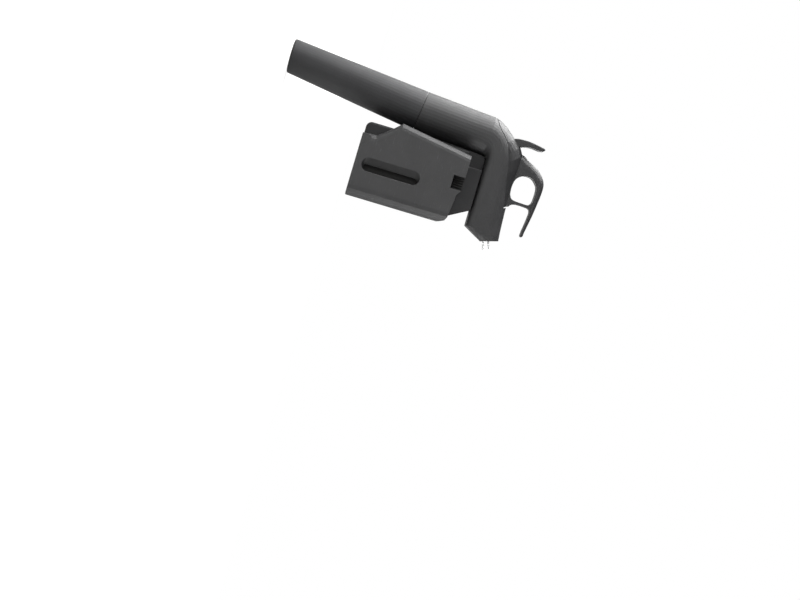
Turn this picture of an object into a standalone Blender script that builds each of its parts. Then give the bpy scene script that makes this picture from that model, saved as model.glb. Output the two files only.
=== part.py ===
"""Wine preservation dispenser, as an assembly of separate pieces.

Metres, +Z up. The origin is the centre of the bottle's mouth, on the needle's axis. +X points to the
spout and +Y to the left of someone who holds the handle. The clamp stands still on the bottle's neck.
The head carries the needle, the valve, the trigger and the handle, and slides on the clamp along Z.
"""
import math

import bmesh
import bpy
from mathutils import Matrix, Vector
from mathutils.bvhtree import BVHTree

# Fits that all pieces share
GAP = 0.0003
WELD = 0.000002
OVERRUN = 0.003
REACH_PAST = 0.200
ROUND_SIDES = 32
SMALL_SIDES = 16
SMOOTH_ANGLE = math.radians(32)
UP = Vector((0, 0, 1))
LEFT = Vector((0, 1, 0))

# Bottle neck that the clamp fits
NECK_RADIUS = 0.01465

# Handle: a tapered tube, its axis tilted away from the bottle
HANDLE_TILT = math.radians(6.5)
HANDLE_CLEARANCE = 0.0033
SEAM_DROP = 0.0238
GRIP_RADIUS = 0.0158
CUP_LENGTH = 0.1064
CUP_END_RADIUS = 0.0130
CUP_END_ROUND = 0.0014
CUP_FLOOR = 0.0032
CUP_SIDES = 40
THREAD_LENGTH = 0.0088
CUSHION_THICKNESS = 0.0025
COLLAR_WALL = 0.0042
COLLAR_SEAT = 0.0060

# Gas cartridge in the cup
CAPSULE_RADIUS = 0.0108
CAPSULE_WALL = 0.0014
CAPSULE_NECK_RADIUS = 0.0042
CAPSULE_NECK_LENGTH = 0.0065
CAPSULE_SHOULDER = 0.0075
CAPSULE_SHOULDER_SHARES = (0.85, 0.5)
CAPSULE_SIDES = 24
PIERCED_RADIUS = 0.0013

# Piercing pin, seal and pressure regulator in the grip
PIN_RADIUS = 0.0009
PIN_BORE_RADIUS = 0.0004
PIN_BITE = 0.0045
SEAL_THICKNESS = 0.0020
SEAL_RADIUS = 0.0050
REGULATOR_FLANGE = 0.0055
REGULATOR_LENGTH = 0.0235
REGULATOR_RADIUS = 0.0098
REGULATOR_BORE_RADIUS = 0.0078
PISTON_THICKNESS = 0.0045
PISTON_SEAT = 0.0010
CAP_PLUG = 0.0020
CAP_THICKNESS = 0.0035
CAP_SOCKET_RADIUS = 0.0025
REGULATOR_WIRE = 0.0006
REGULATOR_TURNS = 5
REGULATOR_COIL_SHARE = 0.7

# Head: a moulded body over the neck, from the grip to the spout
HEAD_BASE = 0.0332
HEAD_RISE = 0.0280
SPOUT_REACH = 0.0271
HEAD_WALL = 0.0024
HEAD_SIDES = 40
LEAST_SLANT_SHARE = 0.5
GRIP_ROW_SHARES = (0.35, 0.72)
# Cross-sections from grip to spout. Each row has the top and the bottom point, as shares of the reach
# behind or before the needle and of the head's rise, the half width as a share of the grip's radius,
# the exponents that square the upper and the lower half, and how much of the trigger's rim it has.
HEAD_ROW_SHARES = (
    ((-0.945, -0.038), (-0.507, -0.103), 1.000, 2.1, 2.3, 0.0),
    ((-0.926, 0.131), (-0.500, -0.030), 0.995, 2.1, 2.8, 0.0),
    ((-0.870, 0.364), (-0.482, 0.000), 0.990, 2.1, 3.4, 0.0),
    ((-0.792, 0.598), (-0.435, 0.000), 0.980, 2.1, 4.0, 0.0),
    ((-0.711, 0.843), (-0.371, 0.000), 0.965, 2.1, 5.0, 0.9),
    ((-0.628, 0.970), (-0.285, 0.000), 0.945, 2.1, 6.0, 1.0),
    ((-0.485, 0.972), (-0.171, 0.000), 0.915, 2.3, 6.0, 1.0),
    ((-0.271, 0.910), (0.000, 0.000), 0.865, 2.6, 6.0, 1.0),
    ((0.000, 0.935), (0.418, 0.000), 0.795, 2.8, 6.0, 1.0),
    ((0.480, 0.962), (0.705, 0.000), 0.715, 3.0, 6.0, 1.0),
    ((0.700, 0.977), (0.871, 0.290), 0.655, 3.2, 5.0, 1.0),
    ((0.856, 0.993), (1.000, 0.525), 0.560, 3.2, 4.0, 1.0),
)
# Seam between head and trigger: up from the shoulder in a long bend, then nearly level
SEAM_SHARES = (
    (-0.948, -0.030), (-0.929, 0.007), (-0.883, 0.057), (-0.823, 0.161), (-0.773, 0.275), (-0.740, 0.350),
    (-0.705, 0.432), (-0.605, 0.529), (-0.450, 0.633), (-0.281, 0.717),
)

# Trigger
PIVOT_SHARES = (-0.576, 0.202)
TRIGGER_TRAVEL = math.radians(4)
SEAM_GAP = 0.00035
PLATE_FRONT_SHARE = 0.070
PLATE_DROP_SHARE = -0.605
PLATE_DEPTH = 0.0025
RIM_WALL = 0.0018
PLATE_CLEARANCE = 0.0005
WALL_END_SHARE = -0.655
BLADE_HALF_WIDTH = 0.0055
BLADE_ANGLE = math.radians(60)
CROWN_DEPTH = 0.0050
CROWN_WIDTH = 0.0047
CROWN_STEPS = 5
HOLE_ROUND = 0.0007
SPUR_HALF_WIDTH = 0.0060
SPUR_ROUND = 0.0006
LUG_HALF_WIDTH = 0.0034
LUG_RADIUS = 0.0036
PIVOT_PIN_RADIUS = 0.0015
PIVOT_BOSS_RADIUS = 0.0032
PIVOT_BOSS_INNER = 0.0094
PIVOT_PIN_REACH = 0.0128
# Outline of loop and finger, as shares like the head's: the arch from the saddle to the finger's tip,
# the finger's underside back to the strut, the strut down to the plate, and the foot inside the plate.
# The third value is how far the rounding of the sides reaches in, as a share of the crown's depth
ARCH_SHARES = (
    (-0.640, 0.890, 1.00), (-0.634, 1.022, 1.00), (-0.597, 1.164, 1.00), (-0.567, 1.326, 1.00),
    (-0.532, 1.481, 1.00), (-0.478, 1.627, 0.92), (-0.423, 1.720, 0.76), (-0.361, 1.756, 0.62),
    (-0.276, 1.753, 0.56), (-0.169, 1.726, 0.50), (-0.013, 1.677, 0.34), (0.430, 1.602, 0.24),
)
TIP_SHARES = (
    (0.430, 1.602, 0.24), (0.535, 1.590, 0.16), (0.572, 1.553, 0.14), (0.548, 1.514, 0.14), (0.480, 1.511, 0.14),
)
FINGER_SHARES = ((0.480, 1.511, 0.14), (0.357, 1.521, 0.14), (0.127, 1.551, 0.14), (-0.049, 1.573, 0.14))
STRUT_SHARES = (
    (-0.049, 1.573, 0.14), (-0.078, 1.560, 0.14), (-0.094, 1.520, 0.14), (-0.100, 1.450, 0.14),
    (-0.103, 1.300, 0.14), (-0.102, 1.189, 0.14), (-0.096, 1.097, 0.14), (-0.080, 1.024, 0.10), (-0.057, 0.975, 0),
)
FOOT_SHARES = ((-0.062, 0.868, 0), (-0.598, 0.745, 0))
HOLE_SHARES = (
    (-0.195, 0.924), (-0.158, 0.970), (-0.140, 1.040), (-0.134, 1.150), (-0.132, 1.293), (-0.131, 1.436),
    (-0.141, 1.520), (-0.175, 1.575), (-0.236, 1.589), (-0.300, 1.588), (-0.347, 1.566), (-0.388, 1.490),
    (-0.420, 1.381), (-0.429, 1.260), (-0.420, 1.130), (-0.388, 1.005), (-0.340, 0.932), (-0.261, 0.908),
)
SPUR_BACK_SHARES = (
    (-0.765, 0.520), (-0.788, 0.686), (-0.795, 0.860), (-0.796, 1.010), (-0.790, 1.157), (-0.779, 1.330),
    (-0.771, 1.436),
)
SPUR_TIP_SHARES = ((-0.771, 1.436), (-0.766, 1.482), (-0.752, 1.498), (-0.739, 1.470))
SPUR_FRONT_SHARES = (
    (-0.739, 1.470), (-0.731, 1.415), (-0.730, 1.330), (-0.736, 1.180), (-0.735, 1.060), (-0.726, 0.940),
    (-0.700, 0.780),
)
CURVE_STEPS = 3

# Screws that join the head's halves, and their places as shares like the head's
SCREW_PLACE_SHARES = {"shell_screw_rear": (-0.785, 0.020), "shell_screw_front": (0.500, 0.170)}
SCREW_RADIUS = 0.0014
SCREW_HEAD_RADIUS = 0.0026
SCREW_HEAD_HEIGHT = 0.0016
SCREW_HEAD_DEPTH = 0.0012
SCREW_REACH = 0.0060
BOSS_RADIUS = 0.0037
SOCKET_RADIUS = 0.0011
SOCKET_DEPTH = 0.0009

# Valve body with its valve, needle and spout
VALVE_REAR_WALL = 0.0021
VALVE_FRONT_SHARE = 0.328
VALVE_HALF_WIDTH = 0.0088
VALVE_HEIGHT = 0.0106
VALVE_ROUND = 0.0008
NOSE_RADIUS = 0.0042
NOSE_REAR_SHARE = 0.125
NOSE_FRONT_SHARE = 0.400
PORT_RADIUS = 0.0010
STEM_SHARE = -0.254
STEM_RADIUS = 0.0018
STEM_BORE_RADIUS = 0.0030
STEM_BORE_DEPTH = 0.0048
SPRING_BORE_DEPTH = 0.0040
SPRING_BORE_RADIUS = 0.0045
STEM_HEAD_RADIUS = 0.0042
STEM_HEAD_THICKNESS = 0.0010
VALVE_WIRE = 0.0004
VALVE_TURNS = 3
ORING_RADIUS = 0.00048
HUB_FLANGE_RADIUS = 0.0045
HUB_FLANGE_THICKNESS = 0.0023
HUB_RADIUS = 0.0032
HUB_LENGTH = 0.0050
NEEDLE_SEAL_THICKNESS = 0.0012
NEEDLE_RADIUS = 0.00095
NEEDLE_BORE_RADIUS = 0.0005
NEEDLE_DEPTH = 0.0580
NEEDLE_TIP_LENGTH = 0.0040
NEEDLE_SIDES = 12
SPOUT_RADIUS = 0.0027
SPOUT_BORE_RADIUS = 0.0019
SPOUT_STUB = 0.0062
SPOUT_INSET_SHARE = 0.305
SPOUT_COLLAR_RADIUS = 0.0046
SPOUT_COLLAR_LENGTH = 0.0026
SPOUT_COLLAR_PROUD = 0.0001
GAS_TUBE_RADIUS = 0.0010
GAS_TUBE_BEND = 0.0044
GAS_TUBE_INLET = (0.0064, 0.0061)

# Clamp frame on the bottle, with the rail's channel
FRAME_HALF_WIDTH = 0.0140
SPINE_HALF_WIDTH = 0.0130
SPINE_FRONT_CLEARANCE = 0.0030
SPINE_DEPTH = 0.01755
SPINE_DROP = 0.0602
SPINE_CORNER = 0.0044
SPINE_ROUND = 0.0015
SPINE_TOP = 0.0200
BLOCK_FRONT = 0.0156
BLOCK_NOSE = 0.0077
BLOCK_BACK = 0.0240
BLOCK_STEP = 0.0183
BLOCK_NOSE_HEIGHT = 0.0322
COLUMN_HALF_WIDTH = 0.0092
COLUMN_BACK = 0.0333
COLUMN_NECK_BACK = 0.0348
COLUMN_NECK = 0.0312
COLUMN_SHOULDER = 0.0270
COLUMN_FOOT_DROP = 0.0090
COLUMN_DROP = 0.0130
COLUMN_SWELL = 0.00195
BLOCK_ROUND = 0.0007
MOUTH_SEAT_THICKNESS = 0.0030
MOUTH_SEAT_RADIUS = 0.0132
MOUTH_SEAT_HOLE = 0.0062
GUIDE_RADIUS = 0.0036
GUIDE_FLANGE_RADIUS = 0.0058
GUIDE_FLANGE = 0.0020
RAIL_THICKNESS = 0.0058
RAIL_HALF_WIDTH = 0.0070
RAIL_BACK_WALL = 0.0022
RAIL_END_DROP = 0.0020
RAIL_ROUND = 0.0006
RAIL_SCREW_SPREAD = 0.0035
RAIL_SCREW_RADIUS = 0.0012
RAIL_SCREW_HEAD_RADIUS = 0.0022
RAIL_SCREW_HEAD = 0.0014
RAIL_SCREW_BITE = 0.0100
RAIL_SCREW_SINK = 0.0014

# Clamp arms
ARM_FRONT_CLEARANCE = 0.00725
ARM_OVERHANG = 0.0048
ARM_SIDE_ROOM = 0.0093
ARM_WALL = 0.0032
ARM_FRONT_ROUND = 0.0075
ARM_BACK_ROUND = 0.0052
ARM_FRONT_GAP = 0.0060
ARM_TAIL_REACH = 0.0061
ARM_BOTTOM = 0.0610
ARM_TOP = 0.0216
ARM_ROUND_STEPS = 4
# Back edge of an arm: how far behind the needle, as a share of the apex, against the height, as a
# share of the drop below the mouth or of the top above it
ARM_BACK_SHARES = ((0.633, -1.0), (0.653, -0.821), (0.853, -0.656), (1.000, -0.554), (0.790, 1.0))
# Stepped and slanted top edge, as shares of the arm's reach behind or before the needle and of its top
ARM_TOP_SHARES = (
    (-0.645, 1.000), (-0.105, 0.995), (-0.010, 0.866), (0.800, 0.785), (0.930, 0.720), (1.000, 0.565),
)
FACET_BACK_SHARE = 0.668
FACET_TOP_SHARE = 0.808
FACET_BOTTOM_SHARE = 0.288
FACET_DEPTH = 0.0050
SLOT_BACK = 0.0032
SLOT_CENTRE_DROP = 0.0331
SLOT_LENGTH = 0.0451
SLOT_WIDTH = 0.0107
SLOT_DEPTH = 0.0022
SLOT_INNER_LENGTH = 0.0423
SLOT_INNER_WIDTH = 0.0050
SLOT_INNER_SHIFT = 0.0026
NOTCH_BACK = 0.0143
NOTCH_WIDTH = 0.0104
NOTCH_DROP = 0.0088
PIN_SHARE = 0.575
HINGE_INSET = 0.0058
HINGE_PIN_RADIUS = 0.0020
HINGE_PIN_HEAD_RADIUS = 0.0030
HINGE_PIN_HEAD = 0.0012
LUG_EYE_RADIUS = 0.0038
LUG_THICKNESS = 0.0040
LUG_LOWER_DROP = 0.0440
LUG_UPPER_HEIGHT = 0.0060
RIB_THICKNESS = 0.0030
PAD_FRONT = 0.0120
PAD_BACK = 0.0110
PAD_TOP_DROP = 0.0080
PAD_BOTTOM_DROP = 0.0540
PAD_INNER = 0.0100
PAD_ROUND = 0.0008
PAD_SIDES = 48
CLAMP_SPRING_RADIUS = 0.0024
CLAMP_SPRING_WIRE = 0.0005
CLAMP_SPRING_TURNS = 4
CLAMP_SPRING_SHARE = 0.755
CLAMP_SPRING_DROP = 0.0330
COIL_POINTS = 10

# Finishes: linear colour, roughness, metallic
CHARCOAL = ((0.055, 0.055, 0.057), 0.55, 0.0)
DARK_PLASTIC = ((0.030, 0.030, 0.032), 0.50, 0.0)
RUBBER = ((0.018, 0.018, 0.018), 0.80, 0.0)
PALE_PLASTIC = ((0.62, 0.60, 0.56), 0.35, 0.0)
STEEL = ((0.56, 0.56, 0.57), 0.28, 1.0)
BRASS = ((0.55, 0.40, 0.16), 0.30, 1.0)
ALUMINIUM = ((0.60, 0.60, 0.62), 0.35, 1.0)

# Places that follow from the sizes
SPINE_FRONT = -(NECK_RADIUS + SPINE_FRONT_CLEARANCE)
SPINE_BACK = SPINE_FRONT - SPINE_DEPTH
HANDLE_REACH = GRIP_RADIUS + HANDLE_CLEARANCE - SPINE_BACK
HANDLE_FRAME = Matrix.Translation((-HANDLE_REACH, 0, -SEAM_DROP)) @ Matrix.Rotation(HANDLE_TILT, 4, "Y")
REAR_REACH = HANDLE_REACH + GRIP_RADIUS
COLLAR_RADIUS = GRIP_RADIUS - HEAD_WALL - GAP
CUP_THREAD_RADIUS = COLLAR_RADIUS + GAP
COLLAR_BORE_RADIUS = COLLAR_RADIUS - COLLAR_WALL
SPIGOT_RADIUS = COLLAR_BORE_RADIUS - GAP
CAPSULE_TOP = -THREAD_LENGTH - GAP - SEAL_THICKNESS - GAP
CUP_INNER_END = -CUP_LENGTH + CUP_FLOOR
CAPSULE_BASE = CUP_INNER_END + GAP + CUSHION_THICKNESS + GAP
REGULATOR_BASE = COLLAR_SEAT + GAP
FLANGE_TOP = REGULATOR_BASE + REGULATOR_FLANGE
REGULATOR_TOP = REGULATOR_BASE + REGULATOR_LENGTH
PISTON_BASE = FLANGE_TOP + PISTON_SEAT
VALVE_BASE = HEAD_BASE + HEAD_WALL + 2 * GAP
VALVE_TOP = VALVE_BASE + VALVE_HEIGHT
SPRING_FLOOR = VALVE_TOP - SPRING_BORE_DEPTH
FRAME_TOP = HEAD_BASE - GAP
BLOCK_BASE = MOUTH_SEAT_THICKNESS + GAP
RAIL_BACK = SPINE_BACK + RAIL_BACK_WALL
RAIL_FRONT = RAIL_BACK + RAIL_THICKNESS
RAIL_TOP = VALVE_BASE - GAP
RAIL_BOTTOM = -(SPINE_DROP - RAIL_END_DROP)
VALVE_REAR = RAIL_BACK - VALVE_REAR_WALL
ARM_FRONT = NECK_RADIUS + ARM_FRONT_CLEARANCE
ARM_APEX = ARM_OVERHANG - SPINE_BACK
ARM_INNER = FRAME_HALF_WIDTH + ARM_SIDE_ROOM
ARM_HALF_WIDTH = ARM_INNER + ARM_WALL
ARM_TAIL_INNER = ARM_INNER - ARM_TAIL_REACH
HINGE_SPREAD = ARM_INNER - HINGE_INSET
PIN_BACK = -PIN_SHARE * ARM_APEX


def head_x(share):
    """Place along X of a share of the reach behind or before the needle."""
    return share * (REAR_REACH if share < 0 else SPOUT_REACH)


def head_point(shares):
    """Point in the middle plane for a pair of head shares."""
    return Vector((head_x(shares[0]), 0, HEAD_BASE + shares[1] * HEAD_RISE))


PIVOT = head_point(PIVOT_SHARES)


# Modelling helpers


def clear_scene():
    for old in list(bpy.data.objects):
        bpy.data.objects.remove(old)
    for old in list(bpy.data.meshes):
        bpy.data.meshes.remove(old)


def add_object(name, bm):
    """Object made from a bmesh, with its faces turned outwards."""
    bmesh.ops.recalc_face_normals(bm, faces=bm.faces)
    mesh = bpy.data.meshes.new(name)
    bm.to_mesh(mesh)
    bm.free()
    piece = bpy.data.objects.new(name, mesh)
    bpy.context.collection.objects.link(piece)
    return piece


def loft(name, rings):
    """Closed solid through rings of equally many points, capped at both ends."""
    bm = bmesh.new()
    rows = [[bm.verts.new(point) for point in ring] for ring in rings]
    for lower, upper in zip(rows, rows[1:]):
        for index, vertex in enumerate(lower):
            after = (index + 1) % len(lower)
            bm.faces.new((vertex, lower[after], upper[after], upper[index]))
    bm.faces.new(rows[0])
    bm.faces.new(rows[-1])
    return add_object(name, bm)


def prism(name, outline, low, high, axis="Y"):
    """Solid with a flat outline, pulled along an axis from low to high."""
    spots = {
        "X": lambda first, second, along: (along, first, second),
        "Y": lambda first, second, along: (first, along, second),
        "Z": lambda first, second, along: (first, second, along),
    }
    place = spots[axis]
    return loft(name, [[place(first, second, along) for first, second in outline] for along in (low, high)])


def box(name, low, high):
    """Block between two corners."""
    outline = [(low[0], low[1]), (high[0], low[1]), (high[0], high[1]), (low[0], high[1])]
    return prism(name, outline, low[2], high[2], "Z")


def turned(name, profile, frame=None, sides=ROUND_SIDES):
    """Solid turned about its own Z axis from a closed outline of (radius, height) points."""
    bm = bmesh.new()
    rings = []
    for radius, height in profile:
        if radius == 0:
            rings.append([bm.verts.new((0, 0, height))])
            continue
        turns = [2 * math.pi * index / sides for index in range(sides)]
        rings.append([bm.verts.new((radius * math.cos(t), radius * math.sin(t), height)) for t in turns])
    for first, second in zip(rings, rings[1:] + rings[:1]):
        if len(first) == 1 and len(second) == 1:
            continue
        for index in range(sides):
            after = (index + 1) % sides
            corners = [first[index % len(first)], first[after % len(first)]]
            corners += [second[after % len(second)], second[index % len(second)]]
            bm.faces.new(list(dict.fromkeys(corners)))
    piece = add_object(name, bm)
    if frame is not None:
        piece.matrix_world = frame
    return piece


def frame_along(start, direction):
    """Frame at a point, with its Z axis along a direction."""
    return Matrix.Translation(start) @ direction.to_track_quat("Z", "Y").to_matrix().to_4x4()


def rod(name, start, end, radius, sides=SMALL_SIDES):
    """Plain round bar between two points."""
    start, end = Vector(start), Vector(end)
    length = (end - start).length
    profile = [(0, 0), (radius, 0), (radius, length), (0, length)]
    return turned(name, profile, frame_along(start, (end - start).normalized()), sides)


def bake(piece):
    """Turns the modifiers of a piece into its mesh."""
    bpy.context.view_layer.update()
    graph = bpy.context.evaluated_depsgraph_get()
    mesh = bpy.data.meshes.new_from_object(piece.evaluated_get(graph))
    piece.modifiers.clear()
    old = piece.data
    piece.data = mesh
    bpy.data.meshes.remove(old)


def combine(piece, tool, operation):
    """Boolean of a piece with a tool, which is used up."""
    modifier = piece.modifiers.new("combine", "BOOLEAN")
    modifier.operation = operation
    modifier.object = tool
    bake(piece)
    bpy.data.objects.remove(tool)
    bm = bmesh.new()
    bm.from_mesh(piece.data)
    bmesh.ops.remove_doubles(bm, verts=bm.verts, dist=WELD)
    bmesh.ops.dissolve_degenerate(bm, edges=bm.edges, dist=WELD)
    bm.to_mesh(piece.data)
    bm.free()
    return piece


def cut(piece, tool):
    return combine(piece, tool, "DIFFERENCE")


def join(piece, tool):
    return combine(piece, tool, "UNION")


def keep(piece, tool):
    return combine(piece, tool, "INTERSECT")


def copy_of(piece, name):
    twin = piece.copy()
    twin.data = piece.data.copy()
    twin.name = name
    bpy.context.collection.objects.link(twin)
    return twin


def mirrored(piece, name):
    """Copy of a piece on the other side of the middle plane."""
    twin = copy_of(piece, name)
    twin.data.transform(Matrix.Diagonal((1, -1, 1, 1)) @ piece.matrix_world)
    twin.matrix_world = Matrix.Identity(4)
    twin.data.flip_normals()
    return twin


def round_edges(piece, width, segments=1, angle=math.radians(40)):
    """Bevels the edges that are sharper than an angle."""
    modifier = piece.modifiers.new("round", "BEVEL")
    modifier.width = width
    modifier.segments = segments
    modifier.limit_method = "ANGLE"
    modifier.angle_limit = angle
    bake(piece)
    return piece


def arc(centre, radius, first, last, steps):
    """Points on a circle from one angle to another, both ends included."""
    angles = [first + (last - first) * index / steps for index in range(steps + 1)]
    return [(centre[0] + radius * math.cos(a), centre[1] + radius * math.sin(a)) for a in angles]


def smooth_line(points, steps=CURVE_STEPS):
    """Curve through points: each stretch leans on the points before and after it."""
    line = []
    for index in range(len(points) - 1):
        before = points[max(index - 1, 0)]
        start = points[index]
        end = points[index + 1]
        after = points[min(index + 2, len(points) - 1)]
        for step in range(steps):
            t = step / steps
            line.append(tuple(
                b + ((c - a) * t + (2 * a - 5 * b + 4 * c - d) * t ** 2
                     + (3 * b - a - 3 * c + d) * t ** 3) / 2
                for a, b, c, d in zip(before, start, end, after)
            ))
    line.append(tuple(points[-1]))
    return line


def middle_outline(shares):
    """Points of the middle plane for a row of head shares."""
    return [(head_point(pair).x, head_point(pair).z) for pair in shares]


def offset_line(line, distance):
    """Line of (x, z) points moved to its left by a distance."""
    moved = []
    for index, point in enumerate(line):
        before = Vector(line[max(index - 1, 0)])
        after = Vector(line[min(index + 1, len(line) - 1)])
        along = (after - before).normalized()
        moved.append((point[0] - along.y * distance, point[1] + along.x * distance))
    return moved


def coil(name, start, direction, radius, wire, turns, length):
    """Compression spring as one unbroken tube, and the least air between its turns."""
    curve = bpy.data.curves.new(name, "CURVE")
    curve.dimensions = "3D"
    curve.bevel_depth = wire
    curve.bevel_resolution = 1
    curve.use_fill_caps = True
    spline = curve.splines.new("POLY")
    count = turns * COIL_POINTS + 1
    spline.points.add(count - 1)
    for index in range(count):
        turn = 2 * math.pi * index / COIL_POINTS
        height = wire + (length - 2 * wire) * index / (count - 1)
        spline.points[index].co = (radius * math.cos(turn), radius * math.sin(turn), height, 1)
    piece = bpy.data.objects.new(name, curve)
    piece.matrix_world = frame_along(start, direction)
    bpy.context.collection.objects.link(piece)
    print(name, "air between turns in mm:", round(1000 * ((length - 2 * wire) / turns - 2 * wire), 2))
    return piece


def tube_along(name, points, radius):
    """Bent tube with filled ends."""
    curve = bpy.data.curves.new(name, "CURVE")
    curve.dimensions = "3D"
    curve.bevel_depth = radius
    curve.bevel_resolution = 2
    curve.use_fill_caps = True
    spline = curve.splines.new("POLY")
    spline.points.add(len(points) - 1)
    for spot, point in zip(spline.points, points):
        spot.co = (*point, 1)
    piece = bpy.data.objects.new(name, curve)
    bpy.context.collection.objects.link(piece)
    return piece


def bent_path(points, radius, steps=5):
    """Straight runs whose corners are rounded by a quadratic bend."""
    path = [points[0]]
    for before, corner, after in zip(points, points[1:], points[2:]):
        first = corner + (before - corner).normalized() * min(radius, (before - corner).length / 2)
        last = corner + (after - corner).normalized() * min(radius, (after - corner).length / 2)
        for step in range(steps + 1):
            t = step / steps
            path.append(first * (1 - t) ** 2 + corner * 2 * t * (1 - t) + last * t ** 2)
    path.append(points[-1])
    return path


# Head form


def squared(value, exponent):
    """Sine or cosine drawn out towards a square."""
    return math.copysign(abs(value) ** (2 / exponent), value)


def head_rows():
    """Top, bottom, half width, exponents and rim share of each cross-section, from grip to spout."""
    shoulder = HEAD_ROW_SHARES[0]
    start_top = HANDLE_FRAME @ Vector((-GRIP_RADIUS, 0, 0))
    start_bottom = HANDLE_FRAME @ Vector((GRIP_RADIUS, 0, 0))
    rows = []
    for share in (0, *GRIP_ROW_SHARES):
        top = start_top.lerp(head_point(shoulder[0]), share)
        bottom = start_bottom.lerp(head_point(shoulder[1]), share)
        rows.append((top, bottom, GRIP_RADIUS, 2.0, 2.0, 0))
    for top, bottom, width_share, top_exponent, bottom_exponent, rim_share in HEAD_ROW_SHARES:
        width = width_share * GRIP_RADIUS
        rows.append((head_point(top), head_point(bottom), width, top_exponent, bottom_exponent, rim_share))
    return rows


def sunk(line, partners, depth):
    """Side line of the head moved towards its partners until the wall is depth thick."""
    moved = []
    for index, point in enumerate(line):
        along = (line[min(index + 1, len(line) - 1)] - line[max(index - 1, 0)]).normalized()
        inward = (partners[index] - point).normalized()
        slant = max(along.cross(inward).length, LEAST_SLANT_SHARE)
        moved.append(point + inward * depth / slant)
    return moved


def head_form(name, wall=0, rim=0):
    """Solid of the whole head and grip, shrunk by a wall, or narrowed where the trigger has its rim."""
    rows = head_rows()
    tops = [row[0] for row in rows]
    bottoms = [row[1] for row in rows]
    if wall:
        tops, bottoms = sunk(tops, bottoms, wall), sunk(bottoms, tops, wall)
        down = HANDLE_FRAME.to_3x3() @ -UP * OVERRUN
        tops[0], bottoms[0] = tops[0] + down, bottoms[0] + down
        face = ((tops[-1] + bottoms[-1]) / 2 - (tops[-2] + bottoms[-2]) / 2).length
        tops[-1] = tops[-1].lerp(tops[-2], wall / face)
        bottoms[-1] = bottoms[-1].lerp(bottoms[-2], wall / face)
    rings = []
    for top, bottom, row in zip(tops, bottoms, rows):
        half_width = row[2] - wall - rim * row[5]
        centre = (top + bottom) / 2
        upward = (top - bottom) / 2
        ring = []
        for index in range(HEAD_SIDES):
            turn = 2 * math.pi * index / HEAD_SIDES
            exponent = row[3] if math.sin(turn) >= 0 else row[4]
            across = LEFT * half_width * squared(math.cos(turn), exponent)
            ring.append(centre + upward * squared(math.sin(turn), exponent) + across)
        rings.append(ring)
    form = loft(name, rings)
    bm = bmesh.new()
    bm.from_mesh(form.data)
    bmesh.ops.triangulate(bm, faces=bm.faces)
    bm.to_mesh(form.data)
    bm.free()
    return form


def seam_line():
    """(x, z) points of the seam under the trigger, from the shoulder to the plate's front."""
    line = smooth_line(middle_outline(SEAM_SHARES), 2)
    (x0, z0), (x1, z1) = line[-2:]
    front = head_x(PLATE_FRONT_SHARE)
    return [*line, (front, z1 + (z1 - z0) / (x1 - x0) * (front - x1))]


def seam_height(x):
    """Height of the seam at a place along X."""
    line = seam_line()
    for (x0, z0), (x1, z1) in zip(line, line[1:]):
        if x <= x1:
            break
    return z0 + (z1 - z0) * (x - x0) / (x1 - x0)


def above(line, name):
    """Cutter of all that lies over a line of (x, z) points."""
    start = (line[0][0] - REACH_PAST, line[0][1] - REACH_PAST)
    outline = [start, *line, (line[-1][0], REACH_PAST), (start[0], REACH_PAST)]
    return prism(name, outline, -REACH_PAST, REACH_PAST)


def front_arc(extra, low, high, steps=6):
    """Front edge of the trigger's plate, round the pivot, so that it keeps its gap as it turns."""
    radius = head_x(PLATE_FRONT_SHARE) - PIVOT.x + extra
    heights = [low + (high - low) * step / steps for step in range(steps + 1)]
    return [(PIVOT.x + math.sqrt(radius ** 2 - (z - PIVOT.z) ** 2), z) for z in heights]


def drop_zone(depth, extra):
    """Outline of the zone where the trigger's plate sinks into the head, down to a depth."""
    start = head_x(PLATE_DROP_SHARE) - extra
    line = [(start, seam_height(start))]
    line += [point for point in seam_line() if start < point[0] < 0]
    lowered = [(x, z - depth) for x, z in line]
    front_height = seam_height(0) - depth
    top = HEAD_BASE + 2 * HEAD_RISE
    return [*lowered, *front_arc(extra, front_height, HEAD_BASE + HEAD_RISE), (0, top), (start, top)]


def shell_cavity():
    """Hollow of the head: under the saddle it keeps a wall, under the plate it is open."""
    cavity = head_form("cavity", wall=HEAD_WALL)
    roof = [point for point in offset_line(seam_line(), -HEAD_WALL) if point[0] < head_x(WALL_END_SHARE)]
    roof.append((head_x(WALL_END_SHARE), seam_height(head_x(WALL_END_SHARE)) - HEAD_WALL))
    return cut(cavity, above(roof, "roof"))


def sink_depth():
    """How far below the seam the plate's room reaches."""
    travel = TRIGGER_TRAVEL * (head_x(PLATE_FRONT_SHARE) - PIVOT.x)
    return PLATE_DEPTH + travel + 2 * GAP


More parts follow.
